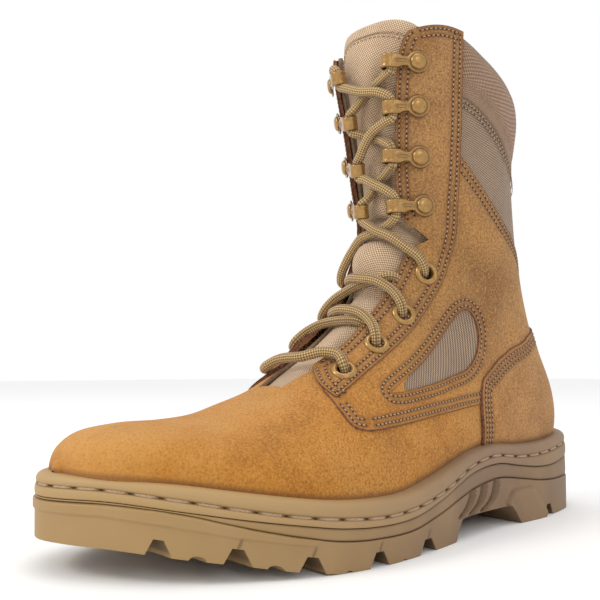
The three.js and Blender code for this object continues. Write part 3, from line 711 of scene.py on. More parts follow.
def addOutsole():
    # The side runs down from the top edge to the ground, and strips run across the tread.
    shares = outsoleShares()
    levels = np.concatenate([[0, 0.008, 0.02, 0.035, 0.05, 0.08], np.linspace(0.11, 0.95, 36), [0.98, 1.0]])
    sides = []
    for side in (1, -1):
        flat, out = outlineShare(shares, side)
        y = flat[:, 1]
        ground = soleAt(y)[3]
        top = soleAt(y)[2] - sole["gap"] / 2
        low = np.minimum(np.maximum(ground + notchRise(shares), archRise(y)), top - 1)
        f = levels[:, None]
        z = top + (low - top) * f
        inset, dark = wallRelief(f, shares[None], y[None], z)
        points = flat[None] - out[None] * inset[..., None]
        sides.append((np.dstack([points, z]), dark))
    points = np.concatenate([sides[0][0], sides[1][0][:, ::-1][:, 1:-1]], axis=1)
    dark = np.concatenate([sides[0][1], sides[1][1][:, ::-1][:, 1:-1]], axis=1)
    wall = sheet(points, False, True, seam=dark, flip=True)
    # across the tread, from the lateral foot of the side to the medial one
    lateral, medial = sides[0][0][-1], sides[1][0][-1]
    width = np.linalg.norm(lateral - medial, axis=1)[:, None]
    edge = np.array([0, 0.8, 7, 14.6, 15.2, 18.6, 19.6])
    fromLateral = np.minimum(edge, width * 0.45 * edge / edge[-1])
    middle = np.linspace(0, 1, 25)[1:-1]
    start, stop = fromLateral[:, -1:], width - fromLateral[:, -1:]
    away = np.hstack([fromLateral, start + (stop - start) * middle[None], width - fromLateral[:, ::-1]])
    w = (away / np.maximum(width, 1e-6))[..., None]
    tread = lateral[:, None] * (1 - w) + medial[:, None] * w
    y = tread[..., 1]
    fromEdge = np.minimum(away, width - away)
    ground = soleAt(y)[3]
    notch = notchRise(shares)[:, None] * (fromEdge < sole["notchDepth"])
    spans = np.any([(shares > first) & (shares < last) for first, last in sole["recessSpans"]], axis=0)
    recessed = (fromEdge > sole["recessFrom"]) & spans[:, None]
    z = np.maximum(ground + np.maximum(notch, sole["recessDepth"] * recessed), archRise(y))
    inner = (away > 0) & (away < width)
    tread[..., 2] = np.where(inner, z, tread[..., 2])
    # painted shade: the underside a little darker, more in the recesses, and dark on the notch walls
    under = sheet(tread, seam=np.maximum(0.3 + 0.3 * recessed, smoothstep(0.2, 2.5, notch) * (away > 0.4)))
    ring, last = points[0], len(shares)
    top = np.stack([ring[:last], np.vstack([ring[:1], ring[: last - 2 : -1]])], axis=1)
    # the hidden top under the wedge is dark with painted shade
    top = sheet(top, seam=1.0, flip=True)
    body = weld(joinParts([wall, under, top]), 2e-3)
    lugs = [centreLug(y, half) for y, half in sole["centreLugs"]]
    return addPiece("outsoleLugs", joinParts([body, *lugs]), ["rubber"], ["outsole"])


def centreLug(y, half):
    # A chevron in the middle of the tread: its outline drawn up from the ground.
    arm, rake = 7, 9
    shape = np.array([(-half, rake), (0, 0), (half, rake), (half, rake + arm), (0, arm), (-half, rake + arm)], float)
    shape = shape + ((-1 if y < 0 else 1), y)
    low = soleAt(shape[:, 1])[3]
    rings = [np.column_stack([shape, low + lift]) for lift in (0.0, sole["lug"] + 0.5)]
    side = sheet(np.array(rings), False, True)
    caps = np.array([[0, 1, 4, 5], [1, 2, 3, 4]])
    side["faces"] = np.vstack([side["faces"], caps[:, ::-1], caps + 6])
    side["uv"] = np.zeros((len(side["faces"]), 4, 2))
    side["seam"] = np.zeros(len(side["points"]))
    return side


def strand(centres, tangents, normals, length, width, height, twist=0.0, rings=9, around=10):
    # Threads as stretched beads: one bead at each centre, lying along its tangent.
    u = np.linspace(-1, 1, rings)[:, None]
    angle = np.linspace(0, 2 * math.pi, around, endpoint=False)[None]
    girth = np.sqrt(np.clip(1 - np.abs(u) ** 4, 0.0, 1))
    ply = 1 + (0.16 * np.cos(2 * angle + twist * u * math.pi) if twist else 0)
    x = u * length / 2 + 0 * angle
    y = girth * ply * np.cos(angle) * width / 2
    z = girth * ply * np.sin(angle) * height / 2 - 0.42 * height * u ** 4
    side = np.cross(normals, tangents)
    local = np.stack([x, y, z], axis=-1).reshape(-1, 3)
    frameOf = np.stack([tangents, side, normals], axis=1)
    points = np.einsum("vk,nkc->nvc", local, frameOf) + centres[:, None]
    faces = gridFaces(rings, around, False, True)[0]
    count = len(centres)
    allFaces = (faces[None] + (np.arange(count) * rings * around)[:, None, None]).reshape(-1, 4)
    part = {"points": points.reshape(-1, 3), "faces": allFaces, "uv": np.zeros((len(allFaces), 4, 2))}
    return weld(part, 1e-5)


def addWeltStitches():
    # Long twisted stitches lie in the groove round the welt, with a needle hole between each two.
    ring = ringAt(2.1, weltHeight(1.0))
    closed = np.vstack([ring, ring[:1]])
    run = runOf(closed)
    count = int(round(run[-1] / sole["stitchPitch"]))
    at = (np.arange(count) + 0.5) * run[-1] / count
    centres = readPath(at, run, closed)
    tangents = unit(readPath(at + 1, run, closed, period=run[-1]) - centres)
    out = unit(np.cross(tangents, (0, 0, 1.0)))
    if np.dot(out[0], centres[0] - centres.mean(axis=0)) < 0:
        out = -out
    part = strand(centres + out * 0.35, tangents, out, 9.6, 1.5, 1.5, twist=5, rings=15, around=12)
    addPiece("weltStitches", part, ["thread"])
    half = run[-1] / count / 2
    at = (at + half) % run[-1]
    holes = readPath(at, run, closed)
    # each needle hole is a dark bead of painted shade
    dots = strand(holes + out * 0.1, tangents, out, 2.0, 1.6, 0.9, rings=7, around=8)
    addPiece("weltNeedleHoles", dots, ["needleHoleShade"])


addWelt()
addMidsole()
addOutsole()
addWeltStitches()
print("sole made")


sections = smoothTable([  # s, top point y z x, bottom point y z x, half width
    (0, -147.2, 43, -14.5, -147.2, 31, -14.5, 5.5), (1, -146, 46.8, -13, -146, 30, -14, 13),
    (2, -142, 51.6, -10.5, -142.5, 29, -12.5, 21.5), (3, -134, 55.6, -8.5, -135, 28, -10.5, 29.6),
    (4, -120, 57.3, -7, -121, 26, -8.5, 38), (5, -101, 57.6, -6, -101, 22.5, -5, 46),
    (6, -81, 60, -4.5, -79, 19, -0.5, 51), (7, -62, 66.3, -3, -57, 17, 3.5, 51.8),
    (8, -44, 75.6, -2, -32, 16.5, 7.5, 48), (9, -27, 86.5, -1, -4, 19.5, 9, 42.5), (10, -12, 98.5, 0, 26, 27, 7, 38),
    (11, 0, 110.5, 0, 58, 31.5, 3.5, 36), (12, 8, 123, 0, 90, 30, 1.5, 35.6), (13, 12.5, 136, 0, 118, 30, 1, 35.2),
    (14, 14.5, 148, 0, 138, 35, 1, 35), (15, 15, 160, 0, 142.5, 49, 0.5, 35), (16, 14.5, 172, 0, 133.5, 67, 0, 35),
    (17, 13.5, 184, 0, 123.4, 88, 0, 35.3), (18, 12.2, 197, 0, 115.5, 112, 0, 36),
    (19, 10.8, 210, 0, 111.4, 139, 0, 36.8), (20, 9.2, 222, 0, 108.6, 167, 0, 37.8),
    (21, 7.8, 234, 0, 107, 193, 0, 39), (22, 7, 245, 0, 110, 217, 0, 40.2), (23, 7.5, 256, 0, 107.5, 240, 0, 40.5),
    (24, 9.5, 266, 0, 103, 260, 0, 40.5),
])
fullness = smoothTable([  # s, height of the widest place, power above it, power below it
    (0, 0.5, 2, 2.5), (2, 0.45, 2.2, 4), (4, 0.4, 2.3, 5), (7, 0.36, 2.05, 5), (10, 0.36, 2.05, 4.5),
    (12, 0.38, 2.15, 3.6), (14, 0.42, 2.2, 2.6), (16, 0.45, 2.2, 2.3), (24, 0.5, 2.25, 2.2),
])
flapLean = {"from": 17, "to": 23, "amount": 3.5, "angle": -0.5, "spread": 0.4}
creases = [  # soft folds: places as (s, distance round), half width and depth in mm, ridges negative
    {"path": [(12.1, 62), (13.0, 84), (14.2, 104)], "width": 9, "depth": 0.9},
    {"path": [(13.6, 58), (14.3, 80), (15.3, 98)], "width": 7, "depth": -0.7},
    {"path": [(14.3, 30), (14.6, 44), (15.3, 58), (15.7, 74)], "width": 6, "depth": 1.1},
    {"path": [(15.4, 26), (15.7, 42), (16.3, 56)], "width": 6, "depth": -0.8},
    {"path": [(16.6, 24), (16.8, 38), (16.7, 50)], "width": 6, "depth": 0.6},
    {"path": [(14.2, -28), (14.7, -46), (15.3, -64)], "width": 7, "depth": 1.0},
    {"path": [(12.3, -60), (13.2, -86), (14.2, -104)], "width": 9, "depth": 0.9},
    {"path": [(7.7, -22), (7.4, -6), (7.35, 8), (7.6, 26)], "width": 7, "depth": 0.8},
    {"path": [(6.9, -30), (6.5, -8), (6.55, 14), (7.1, 44)], "width": 9, "depth": -0.7},
    {"path": [(7.1, 34), (7.0, 52), (7.5, 70), (7.9, 84)], "width": 8, "depth": 0.8},
    {"path": [(5.6, 10), (5.4, 34), (5.9, 58)], "width": 10, "depth": 0.5},
    {"path": [(8.6, 68), (8.9, 80), (9.3, 92)], "width": 8, "depth": 0.6},
    {"path": [(3.6, -22), (3.3, 4), (3.7, 30)], "width": 11, "depth": 0.5},
]


def bareSkin(s, a):
    # each section is a superellipse in a tilted plane, from a bottom point to a top point: the place on its
    # axis and the reach to the side come from the powers of the cosine and sine of the angle
    s, a = np.broadcast_arrays(np.asarray(s, float), np.asarray(a, float))
    rows, full = sections(s), fullness(s)
    top, bottom = rows[..., [2, 0, 1]], rows[..., [5, 3, 4]]
    axis = top - bottom
    c, d = np.cos(a), np.sin(a)
    widest = full[..., 0]
    power = np.where(c > 0, full[..., 1], full[..., 2])
    reach = (np.abs(c) ** power + np.abs(d) ** power) ** (-1 / power)
    along = widest + reach * c * np.where(c > 0, 1 - widest, widest)
    points = bottom + axis * along[..., None]
    points[..., 0] += rows[..., 6] * reach * d
    rise = smoothstep(flapLean["from"], flapLean["to"], s)
    near = np.exp(-(((a - flapLean["angle"]) / flapLean["spread"]) ** 2))
    axis /= np.linalg.norm(axis, axis=-1, keepdims=True)
    return points + axis * (flapLean["amount"] * rise * near)[..., None]


def normalsOf(shape, s, a, ds=4e-3, da=2e-3):
    # the cross product of the surface's two slopes
    bySection = shape(s + ds, a) - shape(s - ds, a)
    byAngle = shape(s, a + da) - shape(s, a - da)
    return unit(np.cross(byAngle, bySection))


# Look-up tables over sections and angles: the distance round to each angle, and the height of the folds.
lastSection, perSection, turnCount, foldCount = 24, 16, 240, 320
sSteps = np.linspace(0, lastSection, lastSection * perSection + 1)
turnSteps = np.linspace(0, math.pi, turnCount + 1)
shareSteps = np.linspace(0, 1, turnCount + 1)
arcTotal, arcRun, arcAngle = {}, {}, {}
for side in (1, -1):
    ring = bareSkin(sSteps[:, None], side * turnSteps[None])
    run = np.cumsum(np.linalg.norm(np.diff(ring, axis=1), axis=2), axis=1)
    run = np.hstack([np.zeros((len(run), 1)), run])
    arcTotal[side], arcRun[side] = run[:, -1], run
    arcAngle[side] = np.array([np.interp(shareSteps * row[-1], row, turnSteps) for row in run])


def lookUp(table, rowPlace, columnPlace):
    # Reads a table between its rows and columns.
    i = np.clip(np.floor(rowPlace).astype(int), 0, table.shape[0] - 2)
    j = np.clip(np.floor(columnPlace).astype(int), 0, table.shape[1] - 2)
    u, v = np.clip(rowPlace - i, 0, 1), np.clip(columnPlace - j, 0, 1)
    low = table[i, j] * (1 - v) + table[i, j + 1] * v
    high = table[i + 1, j] * (1 - v) + table[i + 1, j + 1] * v
    return low * (1 - u) + high * u


def angleAt(s, distance):
    # The angle at a distance round from the shin line, positive on the outer side of the foot.
    s, distance = np.broadcast_arrays(np.asarray(s, float), np.asarray(distance, float))
    answer = np.zeros(s.shape)
    for side in (1, -1):
        total = np.interp(s, sSteps, arcTotal[side])
        share = np.clip(np.abs(distance) / total, 0, 1)
        angle = side * lookUp(arcAngle[side], s * perSection, share * turnCount)
        answer = np.where(distance * side > 0, angle, answer)
    return answer


def roundAt(s, a):
    # The distance round from the shin line to an angle, with its sign.
    place, column = s * perSection, np.abs(a) / math.pi * turnCount
    return np.where(a > 0, lookUp(arcRun[1], place, column), -lookUp(arcRun[-1], place, column))


foldAngles = np.linspace(-math.pi, math.pi, foldCount + 1)
foldGrid = bareSkin(sSteps[:, None], foldAngles[None])
foldHeight = np.zeros(foldGrid.shape[:2])
for crease in creases:
    path = curveThrough(crease["path"], 24)
    spine = bareSkin(path[:, 0], angleAt(path[:, 0], path[:, 1]))
    taper = np.sin(np.linspace(0.06, 0.94, 24) * math.pi) ** 0.7
    reach = np.zeros(foldHeight.shape)
    for place, strength in zip(spine, taper):
        away = ((foldGrid - place) ** 2).sum(axis=2)
        reach = np.maximum(reach, strength * np.exp(-away / crease["width"] ** 2))
    foldHeight -= crease["depth"] * reach


def skin(s, a):
    # The bare skin with its folds, raised along its own normal.
    s, a = np.broadcast_arrays(np.asarray(s, float), np.asarray(a, float))
    lift = lookUp(foldHeight, s * perSection, (a / math.pi + 1) * foldCount / 2)
    return bareSkin(s, a) + normalsOf(bareSkin, s, a) * lift[..., None]


def skinNormals(s, a):
    # over the folds the steps are wider
    return normalsOf(skin, s, a, 0.02, 0.01)


def raised(s, a, lift):
    # the folded skin raised along its own normal
    return skin(s, a) + skinNormals(s, a) * np.asarray(lift, float)[..., None]


def along(s, distance, lift):
    # Places given as a section, a distance round and a height over the skin.
    return raised(s, angleAt(s, distance), lift)


# The angle at which each section meets the welt's ledge, or the back line where it stays above.
ledgeAngle = {}
for side in (1, -1):
    ring = bareSkin(sSteps[:, None], side * turnSteps[None])
    above = ring[..., 2] - (soleAt(ring[..., 1])[0] - 1.0)
    below = above < 0
    first = np.where(below.any(axis=1), below.argmax(axis=1), turnCount)
    first = np.maximum(first, 1)
    rows = np.arange(len(sSteps))
    high, low = above[rows, first - 1], above[rows, first]
    part = np.where(low < 0, high / np.maximum(high - low, 1e-6), 1)
    ledgeAngle[side] = (first - 1 + part) * (math.pi / turnCount)


def ledgeAt(s, side):
    # the angle at which a section ends on one side, at the welt's ledge or the back line
    return side * np.interp(s, sSteps, ledgeAngle[side])


# Outlines of the leather pieces on the outer side, as (s, distance round from the shin line).
facing = {
    "lift": 1.7,
    "thick": 1.7,
    "hole": 4.3,
    "topArch": 0.16,
    "footArch": 0.17,
    "front": [
        (8.47, 12.0), (8.76, 12.5), (9.32, 14.1), (9.82, 13.9), (10.36, 13.2), (11.04, 13.9), (11.94, 15.4),
        (12.62, 17.0), (13.23, 18.8), (13.74, 20.8), (14.3, 26.6), (14.86, 33.3),
    ],
    "frontAbove": [
        (14.86, 33.3), (14.93, 25.5), (14.98, 18.9), (15.75, 15.4), (17.02, 15.7), (18.19, 17.2), (19.35, 18.6),
        (20.56, 20.8), (21.83, 23.6), (22.55, 27.2), (22.75, 30.5),
    ],
    "rear": [
        (8.03, 36.8), (8.37, 35.7), (9.33, 33.4), (9.95, 33.2), (10.6, 33.7), (11.25, 34.9), (12.1, 37.0),
        (12.8, 39.7), (13.49, 42.9), (14.0, 45.0), (14.35, 46.5), (14.7, 47.9),
    ],
    "rearAbove": [
        (14.7, 47.9), (15.0, 49.1), (15.33, 50.3), (16.0, 52.4), (17.0, 54.9), (18.2, 56.6), (19.24, 57.1),
        (20.4, 57.3), (21.6, 57.4), (22.5, 57.3), (23.1, 57.1),
    ],
}
quarter = {
    "lift": 0.95,
    "thick": 1.2,
    "backTop": 18.62,
    "toeEdge": [(8.0, 29.5), (7.95, 36.8), (7.9, 42.6), (7.95, 53.4), (8.24, 57.3)],
    "lowerEdge": [(8.24, 57.3), (9.07, 61.7), (9.96, 68.3), (10.75, 77.3), (11.66, 90.6), (12.15, 98)],
    "heelTurns": [(12.15, 1.82), (12.6, 1.74), (13.4, 1.76), (14.4, 2.0), (15.8, 2.5), (17.3, math.pi)],
    "topEdge": [(18.64, 95.8), (18.72, 84.7), (18.81, 74.9), (18.91, 66.0), (19.02, 59.5), (19.05, 51.5)],
    "flapEdge": [
        (19.05, 51.5), (17.5, 49.5), (15.33, 44), (13.5, 36.8), (12.1, 31.0), (10.6, 28.2), (9.33, 27.6),
        (8.4, 28.8), (8.0, 29.5),
    ],
    "window": [
        (9.35, 47.4), (9.62, 46.6), (10.88, 47.9), (12.19, 51.5), (13.29, 58.6), (13.60, 64.0), (13.51, 70.7),
        (13.10, 75.7), (12.72, 76.8), (12.05, 74.1), (11.17, 65.1), (10.1, 55.0), (9.55, 50.6),
    ],
    "centre": (11.9, 59.0),
}
counter = {
    "lift": 2.1,
    "thick": 1.8,
    "front": [(11.06, 2.171), (11.36, 1.86), (11.68, 1.586), (11.86, 1.51)],
    "top": [(11.86, 1.51), (12.12, 1.455), (12.56, 1.433), (13.43, 1.44), (14.32, 1.515), (15.40, 1.745)],
    "foot": (11.06, 14.42),
    "backLine": [(80, 88.8), (94.2, 95.7), (106, 100.4), (122, 106.0), (160, 118.0)],  # y and height, to the back
}
cuff = {  # its seam and its top edge, as sections by the distance round from the shin line
    "seam": [(0, 20.92), (58, 20.92), (70, 20.95), (80, 20.87), (91, 20.74), (98, 20.62), (120, 20.4), (151, 20.3)],
    "top": [(0, 23.05), (58, 22.97), (72, 22.7), (88, 22.5), (100, 22.38), (120, 22.3), (151, 22.3)],
    "roll": [  # share of the way from seam to top, height over the skin
        (0.0, 0.1), (0.02, 0.6), (0.06, 0.85), (0.17, 0.95), (0.26, 1.5), (0.42, 2.3), (0.62, 2.5), (0.82, 1.9),
        (0.94, 0.9), (1.0, -0.7), (1.01, -2.6), (0.97, -4.6), (0.84, -6.2), (0.6, -6.8), (0.36, -6.3),
        (0.16, -5.0), (0.04, -3.6), (0.0, -2.4), (-0.01, -1.1),
    ],
    "rows": 260,
    "columns": 73,
    "cloth": (210, 78),
    "start": (22.0, 50),
    "thinOuter": (55, 63),  # distances from the shin line over which face and lining thin out
    "thinInner": (42, 60),
    "pucker": 0.22,
    "fill": 0.7,
}


def evenCurve(path, count, closed=False):
    # a path of (s, angle) at even steps over the skin
    return evenly(path, count, closed, bareSkin(*path.T))


def asAngles(path):
    # a path of (s, distance round) as (s, angle)
    return np.column_stack([path[:, 0], angleAt(path[:, 0], path[:, 1])])


def insetPath(path, distance, closed=False):
    # A path in (s, angle), moved sideways over the skin; positive is to the left seen from outside.
    s, a = path[:, 0], path[:, 1]
    if closed:
        before, after = np.roll(path, 1, axis=0), np.roll(path, -1, axis=0)
    else:
        before, after = np.vstack([path[:1], path[:-1]]), np.vstack([path[1:], path[-1:]])
    tangent = unit(bareSkin(after[:, 0], after[:, 1]) - bareSkin(before[:, 0], before[:, 1]))
    target = bareSkin(s, a) + np.cross(normalsOf(bareSkin, s, a), tangent) * distance
    for turn in range(4):  # each step closes in on the target along the skin's two slopes
        bySection = (bareSkin(s + 0.02, a) - bareSkin(s - 0.02, a)) / 0.04
        byAngle = (bareSkin(s, a + 0.01) - bareSkin(s, a - 0.01)) / 0.02
        sideways = target - bareSkin(s, a)
        g11, g12, g22 = (bySection ** 2).sum(1), (bySection * byAngle).sum(1), (byAngle ** 2).sum(1)
        h1, h2 = (bySection * sideways).sum(1), (byAngle * sideways).sum(1)
        scale = g11 * g22 - g12 ** 2
        s, a = s + 0.9 * (h1 * g22 - h2 * g12) / scale, a + 0.9 * (h2 * g11 - h1 * g12) / scale
    return np.stack([s, a], axis=1)


def turnOut(part, outward, tested=slice(None)):
    # turns a part's quads over if they look against the outward directions at the tested ones' centres
    p = part["points"][part["faces"][tested]]
    normals = np.cross(p[:, 1] - p[:, 0], p[:, 3] - p[:, 0])
    if (normals * outward(p.mean(axis=1))).sum() < 0:
        part["faces"], part["uv"] = part["faces"][:, ::-1], part["uv"][:, ::-1]
    return part


def faceOut(part):
    # the same for a part that lies round the boot: outwards is away from a line inside foot and leg
    def outward(centre):
        return centre - np.stack([0 * centre[:, 0], np.clip(centre[:, 1], -100, 60), 0.55 * centre[:, 2]], axis=1)

    return turnOut(part, outward, slice(None, None, max(1, len(part["faces"]) // 400)))


def clothUv(s, a):
    # A flat place for each point of a grid: across by the angle and up by the back line's length, in mm.
    rise = np.interp(s, sSteps, runOf(bareSkin(sSteps, 1.3)))
    return np.dstack([a * 38, rise])


eyeletPlaces = [(8.78, 26.5), (10.01, 26.0), (11.41, 27.6), (13.40, 32.9)]
hookPlaces = {  # rivet and roll as (s, round, height) for each side
    1: [
        ((16.13, 30.9, 1.9), (15.41, 15.1, 4.9)), ((17.95, 30.4, 1.9), (17.49, 15.4, 4.9)),
        ((19.76, 31.2, 1.9), (19.36, 17.8, 4.9)), ((21.39, 32.2, 1.9), (21.19, 19.3, 4.9)),
    ],
    -1: [
        ((15.85, -18.5, 3.9), (15.06, -2.8, 6.0)), ((17.75, -19.4, 4.1), (16.95, -3.8, 6.0)),
        ((19.6, -21.8, 4.1), (18.92, -6.4, 6.0)), ((21.35, -26, 3.9), (20.95, -10.8, 6.2)),
    ],
}


def flapLift(s, distance, side):
    # How far the inner flap stands forward of the skin towards its front edge.
    if side > 0:
        return 0 * s
    near = smoothstep(34, 12, np.abs(distance))
    return near * (2.4 * smoothstep(14.7, 17, s) + 4.0 * smoothstep(8.2, 9.4, s) * smoothstep(15.4, 13.6, s))


def facingGrid(side):
    # Rows from front edge to rear seam, evenly spaced up the two edges; gives s, distance and height.
    low = np.hstack([curveThrough(facing["front"], 120), curveThrough(facing["rear"], 120)])
    high = np.hstack([curveThrough(facing["frontAbove"], 150), curveThrough(facing["rearAbove"], 150)])
    pairs = np.vstack([low, high[1:]])
    w = np.linspace(0, 1, 52)[None]
    s = pairs[:, :1] * (1 - w) + pairs[:, 2:3] * w
    distance = pairs[:, 1:2] * (1 - w) + pairs[:, 3:] * w
    t = np.linspace(0, 1, len(pairs))[:, None]
    # its top and foot are arched
    arch = np.sin(w * math.pi)
    s = s + facing["topArch"] * arch * smoothstep(0.9, 1, t) - facing["footArch"] * arch * smoothstep(0.06, 0, t)
    distance = distance * side
    return s, angleAt(s, distance), facing["lift"] + flapLift(s, distance, side)


def awayFrom(points, centres):
    # The distance from each point to the nearest of a few centres.
    return np.min([np.linalg.norm(points - centre, axis=-1) for centre in centres], axis=0)


def eyeletCentres(side, lift):
    # the eyelets' middles on the facing, at a height over the skin
    places, distances = np.array(eyeletPlaces).T
    return along(places, distances * side, lift + flapLift(places, distances * side, side))


def punch(part, side, lift):
    # Drops the faces over the eyelets' holes.
    centres = part["points"][part["faces"]].mean(axis=1)
    return keepFaces(part, awayFrom(centres, eyeletCentres(side, lift)) > facing["hole"])


stitch = {
    "pitch": 2.5, "length": 1.75, "width": 0.8, "height": 0.6, "hole": 1.2, "holeHeight": 0.3,
    "sunk": 0.05, "drawIn": 0.4, "reach": 1.5,  # how deep thread and leather sink, and how near a row
}
seams = {  # how far the rows lie from each edge
    "front": (-1.9, -5.6),
    "rear": (1.8, 5.2),
    "foot": (1.9, 5.6),
    "crown": (-1.9, -5.4),
    "quarter": (1.8, 4.9),
    "window": (1.6, 4.7),
    "counter": (-2.2, -4.6, -7.0),
    "cuff": ((-1.7, 0.72), (-4.4, 0.95)),  # with their heights over the skin
}
nearBack = math.pi * 0.999  # an angle just short of the back line


def squared(normals, tangents):
    # normals made square to the tangents
    return unit(normals - tangents * (normals * tangents).sum(axis=1, keepdims=True))


def stitchPath(path, lift, closed=False):
    # Centres, tangents and normals of the stitches on a path of (s, angle), and of the holes between.
    lift = np.broadcast_to(np.asarray(lift, float), (len(path),))
    points = raised(path[:, 0], path[:, 1], lift)
    if closed:
        path, points, lift = np.vstack([path, path[:1]]), np.vstack([points, points[:1]]), np.append(lift, lift[0])
    run = runOf(points)
    count = max(2, int(round(run[-1] / stitch["pitch"])))
    pitch = run[-1] / count

    def at(distance):
        s, a, h = (np.interp(distance, run, values) for values in (path[:, 0], path[:, 1], lift))
        return raised(s, a, h), skinNormals(s, a)

    middle = (np.arange(count) + 0.5) * pitch
    centres, normals = at(middle)
    before, after = at(middle - 0.5)[0], at(middle + 0.5)[0]
    tangents = unit(after - before)
    normals = squared(normals, tangents)
    holes, holeNormals = at(np.arange(count + 1) * pitch)
    holeTangents = np.vstack([tangents, tangents[-1:]])
    return (centres, tangents, normals), (holes, holeTangents, squared(holeNormals, holeTangents))


def counterTop():
    # The top edge: listed points at the side, then the section whose height meets a line in the side view.
    angles = np.linspace(1.745, math.pi, 60)
    low, high = np.full(60, 14.6), np.full(60, 19.0)
    for turn in range(30):
        middle = (low + high) / 2
        place = bareSkin(middle, angles)
        above = place[:, 2] > read(place[:, 1], counter["backLine"])
        low, high = np.where(above, low, middle), np.where(above, middle, high)
    return np.vstack([curveThrough(counter["top"], 120)[:-1], np.column_stack([middle, angles])])


def cuffSeam(a):
    # The section of the cuff's seam at each angle round the shaft.
    return read(np.abs(roundAt(21.0 + 0 * a, a)), cuff["seam"])


def cuffTop(a):
    # The section of the cuff's top edge at each angle.
    return read(np.abs(roundAt(22.6 + 0 * a, a)), cuff["top"])


def seamRows(side):
    # The stitch rows of one side, as paths of (s, angle) with their height and whether they close.
    mirror = np.array([1, side])

    def turned(path):
        return asAngles(path * mirror)

    def beside(path, lift, distances, closed=False, trim=(2, 2)):
        # rows at each distance from a path, with some of its points left off at both ends
        rows = [insetPath(path, distance * side, closed) for distance in distances]
        return [(row if closed else row[trim[0] : len(row) - trim[1]], lift, closed) for row in rows]

    low = turned(curveThrough(facing["front"], 130)[:112])
    high = turned(curveThrough(facing["frontAbove"], 150)[30:])
    rear = turned(np.vstack([curveThrough(facing["rear"], 120)[:-1], curveThrough(facing["rearAbove"], 150)]))
    w = np.linspace(0, 1, 40)
    arch = np.sin(w * math.pi)
    foot = turned(np.column_stack([8.47 - 0.44 * w - facing["footArch"] * arch, 12 + 24.8 * w]))
    crown = turned(np.column_stack([22.75 + 0.35 * w + facing["topArch"] * arch, 30.5 + 26.6 * w]))
    rows = []
    for path, name, trim in (
        (low, "front", (9, 0)), (high, "front", (0, 6)), (rear, "rear", (6, 4)),
        (foot, "foot", (4, 0)), (crown, "crown", (4, 4)),
    ):
        for row, lift, closed in beside(path, facing["lift"], seams[name], trim=trim):
            rows.append((row, lift + flapLift(row[:, 0], roundAt(row[:, 0], row[:, 1]), side), closed))
    toe = turned(curveThrough(quarter["toeEdge"], 60)[24:])
    lower = turned(curveThrough(quarter["lowerEdge"], 90)[:84])
    top = turned(curveThrough(quarter["topEdge"], 80))
    backward = np.vstack([[quarter["backTop"], side * nearBack], top])
    window = turned(curveThrough(quarter["window"], 260, closed=True))
    for path, trim in ((toe, (0, 4)), (lower, (4, 2)), (evenCurve(backward, 120), (2, 8))):
        rows += beside(path, quarter["lift"], seams["quarter"], trim=trim)
    rows += beside(window, quarter["lift"], seams["window"], closed=True)
    edge = np.vstack([curveThrough(counter["front"], 60)[:-1], counterTop()]) * mirror
    edge[-1, 1] = side * nearBack
    rows += beside(evenCurve(edge, 200), counter["lift"], seams["counter"], trim=(1, 3))
    turns = np.linspace(angleAt(21.0, 58.6)[()], nearBack, 160)
    seam = np.column_stack([cuffSeam(turns), side * turns])
    return rows + [(insetPath(seam, distance * side), lift, False) for distance, lift in seams["cuff"]]


def sewRows():
    # All the stitches and needle holes of both sides, and their places for the leather to sink at.
    threads, dots, places = [], [], {}
    for side in (1, -1):
        rows = [stitchPath(row, np.asarray(lift) - stitch["sunk"], closed) for row, lift, closed in seamRows(side)]
        beads, holes = zip(*rows)
        threads += beads
        dots += holes
        places[side] = np.vstack([part[0] for part in (*beads, *holes)])
    beads = [np.vstack(group) for group in zip(*threads)]
    holes = [np.vstack(group) for group in zip(*dots)]
    threads = strand(*beads, stitch["length"], stitch["width"], stitch["height"], rings=5, around=6)
    addPiece("seamStitches", threads, ["thread"])
    # the needle holes are dark beads of painted shade
    spots = strand(*holes, stitch["hole"], stitch["hole"], stitch["holeHeight"], rings=3, around=6)
    addPiece("seamNeedleHoles", spots, ["needleHoleShade"])
    return places


sewnPlaces = sewRows()
print("stitches made", len(sewnPlaces[1]))


def nearSeam(points, side):
    # How near each point is to a row of stitches: 1 on the row and 0 from about 3 mm away.
    flat = points.reshape(-1, 3)
    nearest = np.full(len(flat), 1e9)
    places = sewnPlaces[side]
    for start in range(0, len(flat), 2000):
        part = flat[start : start + 2000]
        away = (part ** 2).sum(1)[:, None] + (places ** 2).sum(1)[None] - 2 * part @ places.T
        nearest[start : start + 2000] = away.min(axis=1)
    return np.exp(-np.maximum(nearest, 0) / stitch["reach"] ** 2).reshape(points.shape[:-1])


def sewn(s, a, lift, side):
    # A panel's face: raised over the skin and drawn in along its stitches.
    points = raised(s, a, lift)
    near = nearSeam(points, side)
    return points - skinNormals(s, a) * (stitch["drawIn"] * near)[..., None], near


shell = {
    "wall": 2.1,
    "throat": [  # front edge, a little behind the facing's: s, distance round
        (7.6, 9.0), (8.0, 10.5), (8.47, 12.8), (9.32, 15.0), (9.82, 14.8), (10.36, 14.1), (11.94, 16.3),
        (13.23, 19.9), (13.9, 23.5), (14.35, 29.5), (14.86, 34.5), (14.92, 27), (15.0, 20), (15.4, 17.2),
        (15.9, 16.4), (17.02, 16.7), (18.19, 18.1), (19.35, 19.6), (20.56, 21.9), (21.83, 24.8), (22.55, 28.5),
        (23.1, 33),
    ],
    "vampTo": 7.6,
    "ankle": (14.5, 15.4),
    "top": 23.0,
    "band": 9.0,
    "nylonAbove": 112,
    "nylonReach": ((1, 6), (2 / 3, 7), (1 / 3, 8)),  # share of the way from a window's centre to its rim, reach
}


